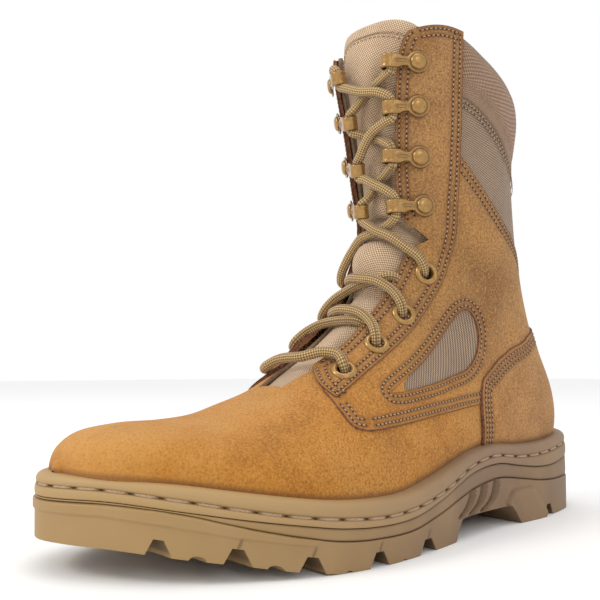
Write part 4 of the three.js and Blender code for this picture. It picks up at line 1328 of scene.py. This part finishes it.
def vampStrip(down):
    # from ledge to ledge over the toe, ahead of the throat; the last ring shrinks forwards to the toe's tip
    s = np.linspace(0.02, shell["vampTo"], 64)[:, None]
    band = np.minimum(shell["band"], 0.3 * np.interp(s, sSteps, arcTotal[1]))
    sides = {}
    for side in (1, -1):
        start = angleAt(s, side * band)
        sides[side] = start + (ledgeAt(s, side) - start) * down
    middle = sides[-1][:, :1] + (sides[1][:, :1] - sides[-1][:, :1]) * np.linspace(0, 1, 14)[None, 1:-1]
    angles = np.hstack([sides[-1][:, ::-1], middle, sides[1]])
    points = skin(s + 0 * angles, angles)
    centre = points[0].mean(axis=0) + (0, -1.6, 0)
    turn = np.linspace(0.5, 0, 7)[:-1, None, None] * math.pi
    tip = centre + (points[:1] - centre) * np.cos(turn) + np.array([0, -0.6, 0]) * np.sin(turn)
    points = np.concatenate([tip, points])
    return faceOut(sheet(points, seam=weltEdgeShade(points)))


def sideStrip(side, down):
    # from throat to ledge or back line on one side, with close rows where the ankle's notch turns
    low, high = shell["ankle"]
    steps = [np.linspace(shell["vampTo"], low, 92), np.linspace(low, high, 26), np.linspace(high, shell["top"], 92)]
    s = np.concatenate([steps[0], steps[1][1:], steps[2][1:]])[:, None]
    start = angleAt(s, side * read(s, shell["throat"]))
    angles = start + (ledgeAt(s, side) - start) * down
    limit = np.minimum(shell["top"], cuffTop(angles) - 0.1)
    s = np.where(s > high, high + (s - high) / (shell["top"] - high) * (limit - high), s)
    points = skin(s, angles)
    return punch(faceOut(sheet(points, uv=clothUv(s, angles), seam=weltEdgeShade(points))), side, 0)


def addShell():
    # One lined skin from toe to cuff, with its wall inwards; the leather pieces hide where its nylon begins.
    down = np.linspace(0, 1, 80)[None]
    part = weld(joinParts([vampStrip(down), sideStrip(1, down), sideStrip(-1, down)]))
    # nylon shows in the windows and above the ankle
    places = part["points"][part["faces"]].mean(axis=1)
    nylon = places[:, 2] > shell["nylonAbove"]
    for side in (1, -1):
        window = curveThrough(quarter["window"], 60, closed=True)
        rim = along(window[:, 0], window[:, 1] * side, 0)
        centre = along(quarter["centre"][0], quarter["centre"][1] * side, 0)
        for share, reach in shell["nylonReach"]:
            nylon |= awayFrom(places, centre + (rim - centre) * share) < reach
    part["slot"] = nylon.astype(int)
    piece = addPiece("upperShell", part, ["suede", "nylon", "lining"], ["upper"])
    wall = piece.modifiers.new("wall", "SOLIDIFY")
    wall.thickness, wall.offset = shell["wall"] * toMetres, -1
    wall.material_offset = wall.material_offset_rim = 2


def weltEdgeShade(points):
    # Painted shade where the upper meets the welt.
    above = points[..., 2] - soleAt(points[..., 1])[0]
    return smoothstep(3.0, 0.3, above)


def addPanel(name, face, rims, replaced=()):
    # a leather piece: its face in suede and its rims raw
    strips = [face, *rims]
    for strip, slot in zip(strips, (0, 1, 1)):
        strip["slot"] = np.full(len(strip["faces"]), slot)
    addPiece(name, weld(joinParts(strips)), ["suede", "rawEdge"], replaced)


def addFacings():
    # The lace facings: a raised grid with punched eyelet holes, sewn down along its rows, with a raw rim.
    for side, word in ((1, "Lateral"), (-1, "Medial")):
        s, a, lift = facingGrid(side)
        points, near = sewn(s, a, lift, side)
        # the face is darkened with painted shade along its stitch rows
        face = punch(faceOut(sheet(points, seam=near)), side, facing["lift"])
        grid = np.dstack(np.broadcast_arrays(s, a, lift))
        edges = (grid[:, 0], grid[-1], grid[::-1, -1], grid[0, ::-1])
        loop = np.vstack([edge[:-1] for edge in edges])
        rim = edgeRim(loop, side, facing["thick"] + 0.45 * (loop[:, 2] - facing["lift"]))
        addPanel(f"facing{word}", face, [rim])


def edgeRim(loop, turn, depth):
    # A raw edge: a rounded profile carried round a loop of (s, angle, height), depth deep.
    points = raised(loop[:, 0], loop[:, 1], loop[:, 2])
    normals = skinNormals(loop[:, 0], loop[:, 1])
    tangent = unit(np.roll(points, -1, axis=0) - np.roll(points, 1, axis=0))
    out = np.cross(tangent, normals) * turn
    depth = np.broadcast_to(depth, len(loop))[:, None]
    profile = [(0, 0, 0), (0.22, -0.05, 0), (0.4, -0.2, 0), (0.48, -0.45, 0), (0.45, 0, -1)]
    rows = np.array([points + out * across + normals * (down + share * depth) for across, down, share in profile])
    # the rim's darkness, deeper down the rim, is painted shade
    strip = sheet(rows, False, True, seam=np.array([0.2, 0.5, 0.8, 1, 1])[:, None])
    return turnOut(strip, lambda centre: out, slice(len(loop) * 2, len(loop) * 3))


def relax(grid, rounds=260):
    # Evens a ring of points between its two fixed loops: each point moves to its neighbours' mean.
    for turn in range(rounds):
        across = np.roll(grid, 1, axis=1) + np.roll(grid, -1, axis=1)
        grid[1:-1] = (across[1:-1] + grid[2:] + grid[:-2]) / 4
    return grid


def quarterLoops(side):
    # The quarter's outline and its window, as even loops of (s, angle) whose points lie on the same bearings.
    back, top = quarter["backTop"], curveThrough(quarter["topEdge"], 60)
    parts = [
        asAngles(curveThrough(quarter["toeEdge"], 40)),
        asAngles(curveThrough(quarter["lowerEdge"], 60)),
        curveThrough(quarter["heelTurns"], 60),
        np.column_stack([np.linspace(quarter["heelTurns"][-1][0], back, 12), np.full(12, math.pi)]),
        np.vstack([[back, math.pi], asAngles(top)]),
        asAngles(curveThrough(quarter["flapEdge"], 80)),
    ]
    outer = evenCurve(np.vstack([part[:-1] for part in parts]), 420, closed=True)
    window = curveThrough(quarter["window"], 300, closed=True)
    window = asAngles(np.vstack([window, window[:1]]))
    centre = asAngles(np.array([quarter["centre"]]))[0]

    def bearing(loop):
        # s and angle are weighed against each other, alike for both loops
        away = (loop - centre) * (14.0, 36.0)
        return np.mod(np.arctan2(away[:, 1], away[:, 0]), 2 * math.pi)

    order = np.argsort(bearing(window))
    inner = readPath(bearing(outer), bearing(window)[order], window[order], period=2 * math.pi)
    return outer * (1, side), inner * (1, side)


def addQuarters():
    # The quarters: rings of points from the window out to the outline, raised and sewn down, with two rims.
    for side, word in ((1, "Lateral"), (-1, "Medial")):
        outer, inner = quarterLoops(side)
        w = np.linspace(0, 1, 44)[:, None, None]
        grid = relax(inner[None] * (1 - w) + outer[None] * w)
        s, a = grid[..., 0], grid[..., 1]
        points, near = sewn(s, a, 0 * s + quarter["lift"], side)
        # the face is darkened with painted shade along its stitch rows
        face = faceOut(sheet(points, False, True, seam=near))
        rims = []
        for loop, outwards in ((outer, 1), (inner, -1)):
            lifted = np.column_stack([loop, np.full(len(loop), quarter["lift"])])
            rims.append(edgeRim(lifted, loopTurn(loop) * outwards, quarter["thick"]))
        addPanel(f"quarter{word}", face, rims)


def loopTurn(loop):
    # +1 when the outward side of a loop is along tangent x normal, judged from its area in (angle, s).
    s, a = loop[:, 0], loop[:, 1]
    return 1 if (a * np.roll(s, -1) - np.roll(a, -1) * s).sum() > 0 else -1


def coons(bottom, top, left, right):
    # Fills a four-sided outline: the two blends of facing edges, less the blend of the corners.
    u = np.linspace(0, 1, len(bottom))[None, :, None]
    v = np.linspace(0, 1, len(left))[:, None, None]
    across = bottom[None] * (1 - v) + top[None] * v
    upward = left[:, None] * (1 - u) + right[:, None] * u
    corners = (1 - u) * (1 - v) * bottom[0] + u * (1 - v) * bottom[-1] + (1 - u) * v * top[0] + u * v * top[-1]
    return across + upward - corners


def counterGrid():
    # The outer half's patch in (s, angle), from the front edge to the back line and from ledge to top.
    s = np.linspace(*counter["foot"], 400)
    bottom = evenCurve(np.column_stack([s, ledgeAt(s, 1)]), 110)
    bottom[-1, 1] = math.pi
    left = curveThrough(counter["front"], 70)
    left[0] = bottom[0]
    top = evenCurve(counterTop(), 110)
    right = np.column_stack([np.linspace(bottom[-1, 0], top[-1, 0], 70), np.full(70, math.pi)])
    return coons(bottom, top, left, right)


def addCounter():
    # The heel counter: the outer half and its mirror image in one grid, raised and sewn down.
    grid = counterGrid()
    whole = np.concatenate([grid, grid[:, ::-1][:, 1:] * (1, -1)], axis=1)
    s, a = whole[..., 0], whole[..., 1]
    half = grid.shape[1]
    parts = []
    for columns, side in ((slice(half), 1), (slice(half, None), -1)):
        parts.append(sewn(s[:, columns], a[:, columns], 0 * s[:, columns] + counter["lift"], side))
    points, near = (np.concatenate(pair, axis=1) for pair in zip(*parts))
    # painted shade along the stitch rows and where the counter meets the welt
    face = faceOut(sheet(points, seam=np.maximum(weltEdgeShade(points), near)))
    loop = np.vstack([whole[:-1, 0], whole[-1, :-1], whole[:0:-1, -1], whole[0, :0:-1]])
    lifted = np.column_stack([loop, np.full(len(loop), counter["lift"])])
    # the loop crosses the back line, so its turn is taken from the outer half
    turn = loopTurn(np.vstack([grid[:, 0], grid[-1], grid[::-1, -1], grid[0, ::-1]]))
    addPanel("heelCounter", face, [edgeRim(lifted, turn, counter["thick"])], ["heel_counter"])


def cuffSurface(a, v):
    # A closed roll: from the seam out over the stuffed top edge and down inside, at the share v of a turn.
    roll = curveThrough(cuff["roll"], 400, closed=True)
    share, height = readPath(v.ravel(), np.linspace(0, 1, 401), np.vstack([roll, roll[:1]])).T.reshape(2, *v.shape)
    seam = cuffSeam(a)
    s = seam + (cuffTop(a) - seam) * share
    # it thins out under the facing, on its face and on its lining
    distance = np.abs(roundAt(cuff["start"][0] + 0 * a, a))
    outer = smoothstep(*cuff["thinOuter"], distance)
    inner = smoothstep(*cuff["thinInner"], distance)
    face, lining = np.maximum(height - 0.1, 0), np.minimum(height + 2.3, 0)
    height = np.clip(height, -2.3, 0.1) + face * outer + lining * inner
    pucker = cuff["pucker"] * np.sin(np.abs(a) * 46 + 1.5 * np.sin(a * 9)) * hump(share - 0.24, 0.09) * outer
    return raised(s, a, height + pucker)


def addCuff():
    # The roll follows the shaft from one facing round the back to the other.
    start = angleAt(*cuff["start"])[()]
    a = np.linspace(start, 2 * math.pi - start, cuff["rows"])
    v = np.linspace(0, 1, cuff["columns"])
    points = cuffSurface(*np.meshgrid(np.where(a > math.pi, a - 2 * math.pi, a), v[:-1], indexing="ij"))
    # both ends close flat
    ends = [np.repeat(points[row].mean(axis=1, keepdims=True), len(v) - 1, axis=1) for row in ([0], [-1])]
    points = np.concatenate([ends[0], points, ends[1]])
    width, girth = cuff["cloth"]
    across = np.concatenate([[0], np.linspace(0, width, len(a)), [width]])
    uv = np.dstack(np.meshgrid(across, v * girth, indexing="ij"))
    piece = addPiece("cuffPad", faceOut(weld(sheet(points, False, True, uv=uv))), ["cuffNylon"])


tongue = {
    "widths": [
        (7.2, 20), (8, 22), (10, 25.5), (12, 29), (13.4, 37), (14.4, 41), (15.4, 39), (17, 33), (19, 31.5), (22, 32),
        (23.2, 31.5),
    ],
    "seamLift": 0.25,
    "foot": 7.2,
    "middle": -6.4,
    "half": 3.6,
    "crown": 1.3,
    "power": 1 / 1.3,
    "top": 23.72,
    "closing": (1.3, 1.9),  # how far below the top each shoulder starts to close in, outer and inner
    "bandAt": 22.8,
    "bandFall": (0.35, 1.6),
    "seamBelow": 0.17,
    "seamSpan": (-27, 37),
    "seamPitch": 2.7,
    "seamStitch": (2.0, 0.9, 0.7),
    "fill": 0.7,
    "folds": [  # bulge, ridges and troughs: centre s and distance, reach up and across, height
        (13.1, -7.0, 0.85, 20.0, 6.4),
        (13.85, 4, 0.13, 22, -2.2), (14.3, 8, 0.22, 18, 1.4), (14.75, 6, 0.13, 22, -2.2), (15.3, 6, 0.3, 14, 1.0),
        (11.6, 0, 0.2, 20, -1.2), (16.4, 9, 0.8, 2.8, -2.2), (18.6, 5, 1.0, 2.8, -2.3), (18.6, -3, 1.0, 4, 1.0),
        (20.3, 9, 1.0, 3.0, -2.2), (20.3, 2, 1.2, 5, 1.0), (16.4, 1, 0.7, 4, 1.0), (9.6, 9, 0.5, 4, -1.6),
        (8.6, 8, 0.5, 5, 0.8),
    ],
}


def tongueBand(across):
    # The section of the seam under the tongue's top band, an arc that falls away to both sides.
    return tongue["bandAt"] - np.where(across > 0, *tongue["bandFall"]) * np.abs(across / 30) ** 2.6


tongueWidths = smoothTable(tongue["widths"])


def tongueHalf(s, outer):
    # Half the tongue's width: the outer shoulder is fuller than the inner one.
    end = np.clip((tongue["top"] - s) / np.where(outer, *tongue["closing"]), 0, 1)
    taper = np.maximum((1 - (1 - end) ** 2.3) ** (1 / 2.1), 0.02)
    return tongueWidths(s)[..., 0] * taper * np.where(outer, 1 + 0.22 * smoothstep(19, 22, s), 1)


def tonguePoints(s, turn):
    # A flat superellipse section below the flaps, crowned along its middle and closed in at both ends.
    c, d = np.cos(turn), np.sin(turn)
    half = tongueHalf(s, c > 0)
    end = np.clip((tongue["top"] - s) / tongue["closing"][1], 0, 1)
    start = np.clip((s - tongue["foot"]) / 0.4, 0, 1)
    thick = tongue["half"] * np.clip(end * 4.5, 0, 1) ** 0.5 * start ** 0.5
    across = half * np.sign(c) * np.abs(c) ** tongue["power"]
    up = np.sign(d) * np.abs(d) ** tongue["power"]
    # on its face only: the crown, the bulge, the groove under the top band and the folds
    face = np.maximum(d, 0)
    humps = [h * np.exp(-(((s - fs) / ls) ** 2) - ((across - fd) / ld) ** 2) for fs, fd, ls, ld, h in tongue["folds"]]
    bulge, fold = humps[0], sum(humps[1:])
    groove = -hump(s - tongueBand(across), 0.05)
    crown = tongue["crown"] * np.exp(-((across / 15) ** 4)) * smoothstep(7.6, 8.6, s) * smoothstep(23.9, 22, s)
    relief = (crown + bulge) * face ** 0.5 + (groove + fold) * face * np.minimum(thick / 3.4, 1)
    shade = np.where(d > 0, np.clip(-0.9 * groove - 0.42 * fold, 0, 1), 0)
    return along(s, across, tongue["middle"] + thick * up + relief), across, shade


def addTongue():
    # Rings of the tongue from foot to top, and one row of stitches on its face.
    band = tongue["bandAt"]
    s = np.concatenate([np.linspace(tongue["foot"], band, 220)[:-1], np.linspace(band, tongue["top"], 40)])
    points, across, shade = tonguePoints(*np.meshgrid(s, np.linspace(0, 2 * math.pi, 101)[:-1], indexing="ij"))
    points[0], points[-1] = points[0].mean(axis=0), points[-1].mean(axis=0)
    rise = runOf(points[:, 25])
    uv = np.dstack([across, rise[:, None] + 0 * across])
    uv = np.concatenate([uv, uv[:, :1]], axis=1)
    part = faceOut(weld(sheet(points, False, True, uv=uv, seam=shade)))
    piece = addPiece("tonguePad", part, ["tongueNylon"], ["tongue"])
    # one row of stitches below the band's seam
    across = np.linspace(*tongue["seamSpan"], 200)
    rows = tongueBand(across) - tongue["seamBelow"]
    share = np.clip(np.abs(across) / tongueHalf(rows, across > 0), 0, 0.999) ** 1.3
    line = tonguePoints(rows, np.arccos(np.sign(across) * share))[0]
    run = runOf(line)
    at = np.arange(1.5, run[-1] - 1.5, tongue["seamPitch"])
    centres = readPath(at, run, line)
    tangents = unit(readPath(at + 0.4, run, line) - centres)
    s = np.interp(at, run, rows)
    normals = squared(skinNormals(s, angleAt(s, np.interp(at, run, across))), tangents)
    centres = centres + normals * tongue["seamLift"]
    beads = strand(centres, tangents, normals, *tongue["seamStitch"], rings=5, around=8)
    addPiece("tongueStitches", beads, ["thread"])


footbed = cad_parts["insole"]
footbed.data.materials.clear()
footbed.data.materials.append(finishes["footbed"])
addShell()
print("shell made")
addFacings()
addQuarters()
addCounter()
print("panels made")
addCuff()
addTongue()
print("padding made")


lace = {"radius": 2.45, "around": 16, "step": 1.1}
laceNodes = {
    "laceBar": ["lace_bar"],
    "laceCrossLowOver": ["lace_cross_1"],
    "laceCrossLowUnder": [],
    "laceCrossMiddleOver": ["lace_cross_2"],
    "laceCrossMiddleUnder": [],
    "laceUpperOne": ["lace_cross_3", "lace_cross_4", "lace_cross_5"],
    "laceUpperTwo": ["lace_cross_6", "lace_cross_7"],
}
laceRuns = [  # in the same order: (s, distance round, height over the skin)
    [
        (8.86, 26.4, -3.4), (8.86, 25.7, 0.4), (8.88, 23.9, 3.5), (8.95, 20, 4.9), (8.8, 13.6, 5.6), (8.47, 7, 5.6),
        (8.37, -0.5, 5.8), (8.32, -6.5, 5.8), (8.2, -12.5, 5.3), (8.28, -18, 4.5), (8.58, -23.4, 3.6),
        (8.78, -26.4, 0.8), (8.8, -27.2, -3),
    ],
    [
        (10.75, -21, -3.4), (10.78, -16, 0.2), (10.68, -10.6, 3.1), (10.57, -4, 4.6), (10.55, 2, 5.2),
        (10.52, 11.4, 5.2), (10.36, 18.5, 4.7), (10.16, 22.9, 3.7), (10.06, 25.2, 0.4), (10.05, 25.9, -3.4),
    ],
    [
        (10.48, 21, -3.4), (10.44, 15, -0.6), (10.4, 9.5, 0.9), (10.33, 1, 1.0), (10.28, -6, 1.9), (10.2, -11.6, 4.0),
        (9.85, -15.6, 6.6), (9.5, -18.6, 6.9), (9.5, -22.6, 6.2), (9.78, -25.8, 3.6), (9.98, -26.6, 0.4),
        (10.0, -27, -3),
    ],
    [
        (12.2, -22, -3.4), (12.3, -17, 0.4), (12.24, -11.8, 3.4), (12.1, -5, 4.8), (11.98, 0.8, 5.2),
        (11.94, 10.2, 5.2), (11.82, 18.2, 4.7), (11.6, 23.9, 3.8), (11.46, 26.7, 0.4), (11.45, 27.5, -3.4),
    ],
    [
        (12.5, 24, -3.4), (12.52, 18.4, -0.4), (12.42, 14, 1.2), (12.12, 7.6, 1.3), (11.88, -3, 1.6),
        (11.72, -10.4, 3.2), (11.42, -15, 6.4), (11.02, -18.6, 8.0), (10.9, -22.6, 7.6), (11.12, -26.4, 4.8),
        (11.36, -28, 1.0), (11.4, -28.6, -3.2),
    ],
    [  # from the top outer eyelet up through the hooks: inner, outer, inner, outer
        (13.42, 33, -3.4), (13.44, 32, 0.4), (13.56, 29.4, 3.8), (13.7, 26.2, 4.8), (13.8, 19.8, 5.2),
        (13.98, 12.5, 5.4), (14.17, 5, 5.5), (14.44, 0.8, 5.7), (14.66, -2, 5.9), (15.06, -2.8, 6.0),
        (15.38, -2.4, 6.0),
        (15.52, -0.8, 4.8), (15.76, 0.6, 2.4), (16.26, 3.8, 0.4), (16.7, 9.8, 1.2), (17.02, 13.6, 3.6),
        (17.14, 15.3, 4.8), (17.49, 15.4, 4.9), (17.86, 15.2, 4.8), (17.98, 12, 3.2), (18.08, 8, 1.2),
        (18.25, 0.4, 0.4),
        (18.42, -3.4, 3), (18.57, -6, 5.6), (18.92, -6.4, 6.0), (19.25, -6, 5.9), (19.4, -4, 4.8), (19.66, -1.6, 2.4),
        (20.07, 3.2, 0.4), (20.42, 11.4, 1.3), (20.72, 17.2, 3.8), (20.84, 19.2, 4.8), (21.19, 19.3, 4.9),
        (21.5, 19.3, 4.9),
    ],
    [  # from the top inner eyelet up through the hooks: outer, inner, outer, inner, and round behind the last
        (13.37, -34.2, -3.2), (13.4, -33.2, 0.8), (13.1, -30.2, 5.2), (12.78, -25.4, 8.0), (12.86, -20.4, 8.4),
        (13.3, -16.4, 6.8), (13.75, -12.4, 4.2), (14.02, -7, 2.4), (14.08, -0.5, 1.6), (14.28, 6, 1.2),
        (14.62, 11.4, 2.4), (14.98, 14.6, 4.5), (15.41, 15.1, 4.9),
        (15.8, 14.8, 4.9), (15.98, 11.4, 5.3), (16.22, 5, 5.4), (16.46, 0.6, 5.6), (16.6, -3, 5.9),
        (16.95, -3.8, 6.0),
        (17.28, -3.4, 6.0), (17.46, -1.6, 5.7), (17.82, 1.4, 5.4), (18.3, 6.4, 5.3), (18.76, 14, 4.9),
        (18.96, 17.4, 4.9),
        (19.36, 17.8, 4.9), (19.74, 17.4, 4.9), (19.86, 15, 5.2), (19.96, 11.4, 5.4), (20.06, 2.8, 5.4),
        (20.42, -6.4, 5.8), (20.6, -10, 6.1), (20.95, -10.8, 6.2), (21.28, -11.2, 6.3), (21.5, -13.4, 6.0),
        (21.62, -19, 3.2), (21.5, -22, -0.5), (21.3, -24, -3),
    ],
]
hook = {
    "headRadius": 5.9, "neck": 2.45, "barHalf": 3.7, "thick": 1.1, "rollRadius": 2.8, "rollTurn": 300,
    "slot": (7.4, 11.4, 1.2), "barFrom": (7.4, 11.5), "ribAt": 2.7, "rivetRadius": 4.1, "steps": 24, "power": 0.42,
}
eyeletProfile = [  # radius and height over the leather
    (3.3, -3.2), (3.3, 0.2), (3.45, 0.8), (3.95, 1.25), (4.6, 1.38), (5.3, 1.15), (5.9, 0.6), (6.15, 0.0),
    (6.1, -0.4),
]


def tube(path, radius, around):
    # A circle carried along a path without twisting: each ring's frame turns only as the path turns.
    tangent = unit(np.gradient(path, axis=0))
    side = np.cross(tangent[0], (0.1, 0.2, 1.0))
    frames = [side / np.linalg.norm(side)]
    for ahead in tangent[1:]:
        last = frames[-1] - ahead * np.dot(frames[-1], ahead)
        frames.append(last / np.linalg.norm(last))
    first = np.array(frames)
    second = np.cross(tangent, first)
    turn = np.linspace(0, 2 * math.pi, around, endpoint=False)
    ring = first[:, None] * np.cos(turn)[None, :, None] + second[:, None] * np.sin(turn)[None, :, None]
    points = path[:, None] + ring * np.asarray(radius).reshape(-1, 1, 1)
    uv = np.dstack(np.meshgrid(runOf(path), np.linspace(0, 1000, around + 1), indexing="ij"))
    return sheet(points, False, True, uv=uv, flip=True)


def addLaces():
    # Each run is a tube on one smooth curve through its places over the skin.
    lengths = []
    for (name, replaced), run in zip(laceNodes.items(), laceRuns):
        path = curveThrough(along(*np.array(run).T), 40 * len(run))
        length = runOf(path)[-1]
        path = evenly(path, int(length / lace["step"]))
        # the ends are rounded off
        fromEnd = np.minimum(np.arange(len(path)), np.arange(len(path))[::-1]) / 2.0
        radius = lace["radius"] * np.sqrt(np.clip(1 - (1 - np.minimum(fromEnd, 1)) ** 2, 0.004, 1))
        addPiece(name, weld(tube(path, radius, lace["around"])), ["cord"], replaced)
        lengths.append((name, round(float(length))))
    return lengths


def framed(points, origin, ex, ey, ez):
    # local points set out from an origin along three axes
    return origin + points[..., :1] * ex + points[..., 1:2] * ey + points[..., 2:] * ez


def lathe(profile, origin, axis, count=36):
    # A profile of radius and height turned round an axis.
    ex = unit(np.cross(axis, (0.3, 0.1, 1.0)))
    ey = np.cross(axis, ex)
    profile = curveThrough(profile, 6 * len(profile))
    turn = np.linspace(0, 2 * math.pi, count, endpoint=False)
    radius, height = profile[:, :1], profile[:, 1:]
    local = np.dstack([radius * np.cos(turn), radius * np.sin(turn), height + 0 * turn])
    foot = height.min()
    # painted shade at the foot, where the piece meets the leather
    low = smoothstep(foot + 1.0, foot + 0.4, height)
    part = sheet(framed(local, origin, ex, ey, axis), False, True, seam=low)
    below = origin + axis * (foot - 3)
    return turnOut(part, lambda centre: centre - below)


def hookPart(rivetPlace, rollPlace):
    # A strap that is a disc at the rivet, a neck and a bar, and then curls into a roll for the lace.
    rivet = along(*rivetPlace)
    normal, rollNormal = (skinNormals(s, angleAt(s, distance)) for s, distance in (rivetPlace[:2], rollPlace[:2]))
    head, radius = hook["headRadius"], hook["rollRadius"]
    end = along(*rollPlace) + unit(normal + rollNormal) * radius
    ex = unit(end - rivet)
    ey = unit(np.cross(normal, ex))
    ez = np.cross(ex, ey)
    length = np.dot(end - rivet, ex)
    # the strap's middle line, straight and then round the roll, with its outward direction and half width
    flat = np.concatenate([-head * np.cos(np.linspace(0, math.pi / 2, 12)), np.linspace(0.5, length, 32)])
    turn = np.radians(np.linspace(0, hook["rollTurn"], 29)[1:])
    x = np.concatenate([flat, length + radius * np.sin(turn)])[:, None]
    z = np.concatenate([0 * flat, radius * (np.cos(turn) - 1)])[:, None]
    nx = np.concatenate([0 * flat, np.sin(turn)])[:, None]
    nz = np.concatenate([1 + 0 * flat, np.cos(turn)])[:, None]
    disc = np.sqrt(np.clip(head ** 2 - np.minimum(flat, head) ** 2, 0, None))
    bar = hook["neck"] + (hook["barHalf"] - hook["neck"]) * smoothstep(*hook["barFrom"], flat)
    half = np.concatenate([np.maximum(disc, bar * smoothstep(-1, 4.5, flat)), np.full(len(turn), hook["barHalf"])])
    half = np.maximum(half, 0.02)[:, None]
    # round the strap: even steps over its top, then back under it
    steps = hook["steps"]
    u = np.concatenate([np.linspace(1, -1, steps + 1)[:-1], np.linspace(-1, 1, steps + 1)[:-1]])[None]
    d = np.sqrt(np.clip(1 - np.abs(u) ** (2 / hook["power"]), 0, 1)) * np.repeat([1, -1], steps)
    y = half * u
    rise = hook["thick"] / 2 * (1 + np.sign(d) * np.abs(d) ** hook["power"]) * np.minimum(half / 1.2, 1)
    # on its top, a pressed rim round the slot and two ribs along the roll
    place = np.arange(len(x))[:, None]
    start, stop, width = hook["slot"]
    fromSlot = np.hypot(x - np.clip(x, start, stop), y)
    rise = rise + np.where((d > 0.2) & (place < len(flat)), 0.55 * hump(fromSlot - width, 0.45), 0)
    rise = rise + np.where((d > 0.2) & (place >= len(flat) - 2), 0.2 * hump(np.abs(y) - hook["ribAt"], 0.45), 0)
    local = np.dstack([x + nx * rise, y, z + nz * rise])
    local[0], local[-1] = local[0].mean(axis=0), local[-1].mean(axis=0)
    # painted shade: darker along its edges, below, round the rivet and in the slot
    dark = [
        smoothstep(0.8, 0.97, np.abs(u)) + 0 * y,
        hump(np.hypot(x, y) - hook["rivetRadius"] - 0.35, 0.4),
        (np.arange(2 * steps) > steps) + 0 * y,
        0.8 * hump(fromSlot - width + 0.55, 0.35) * (place < len(flat)),
    ]
    strap = weld(sheet(framed(local, rivet, ex, ey, ez), False, True, seam=np.max(dark, axis=0)))
    strap = turnOut(strap, lambda centre: centre - (rivet + ez * 0.5), slice(400))
    r = hook["rivetRadius"]
    dome = [(0.02, 3.0), (r * 0.45, 2.9), (r * 0.78, 2.5), (r * 0.95, 1.9), (r, 1.4), (r * 0.985, 0.9)]
    return [strap, lathe(dome, rivet, ez)]


def addHardware():
    # eyelets and hooks, four of each on either side
    for side, word in ((1, "lateral"), (-1, "medial")):
        lift = facing["lift"]
        rings = []
        for s, distance in eyeletPlaces:
            place = (s, distance * side)
            centre = along(*place, lift + flapLift(*place, side))
            rings.append(lathe(eyeletProfile, centre, skinNormals(s, angleAt(*place))))
        hooks = [part for places in hookPlaces[side] for part in hookPart(*places)]
        for name, parts in (("eyelet", rings), ("hook", hooks)):
            nodes = [f"{name}_{word}_{number}" for number in (1, 2, 3, 4)]
            addPiece(f"{name}s{word.capitalize()}", joinParts(parts), ["brass"], nodes)


laceLengths = addLaces()
addHardware()
print("laces and hardware made", laceLengths)

def addStage():
    # a pale floor under an evenly white sky
    reach = 6.0
    floor = bpy.data.meshes.new("floor")
    corners = [(-reach, -reach, 0), (reach, -reach, 0), (reach, reach, 0), (-reach, reach, 0)]
    floor.from_pydata(corners, [], [(0, 1, 2, 3)])
    pale = Finish("paleFloor", Base_Color=(0.9, 0.9, 0.9, 1), Roughness=0.9)
    floor.materials.append(pale.material)
    ground = bpy.data.objects.new("floor", floor)
    bpy.context.scene.collection.objects.link(ground)
    world = bpy.data.worlds.new("studio")
    world.use_nodes = True
    sky = world.node_tree.nodes["Background"]
    sky.inputs["Color"].default_value = (1, 1, 1, 1)
    sky.inputs["Strength"].default_value = 1.0
    bpy.context.scene.world = world


def addLight(name, place, target, size, power, colour=(1, 1, 1)):
    # a round area light that looks from its place to a target
    data = bpy.data.lights.new(name, "AREA")
    data.shape, data.size, data.energy, data.color = "DISK", size, power, colour
    lamp = bpy.data.objects.new(name, data)
    bpy.context.scene.collection.objects.link(lamp)
    place = np.array(place, float)
    back = unit(place - target)
    right = unit(np.cross((0, 0, 1.0), back))
    rows = np.stack([right, np.cross(back, right), back, place], axis=1)
    lamp.matrix_world = Matrix([*map(list, rows), [0, 0, 0, 1]])


addStage()
addLight("keyLight", (-0.5, -1.5, 1.3), (0, 0, 0.1), 0.7, 12, (1, 0.97, 0.93))
addLight("sideLight", (1.6, -0.6, 0.9), (0, 0, 0.12), 0.6, 2.5)
addLight("topLight", (0.1, 0.0, 1.9), (0, 0, 0.1), 0.8, 5)
bpy.context.scene.view_settings.view_transform = "Standard"

print("scene made")
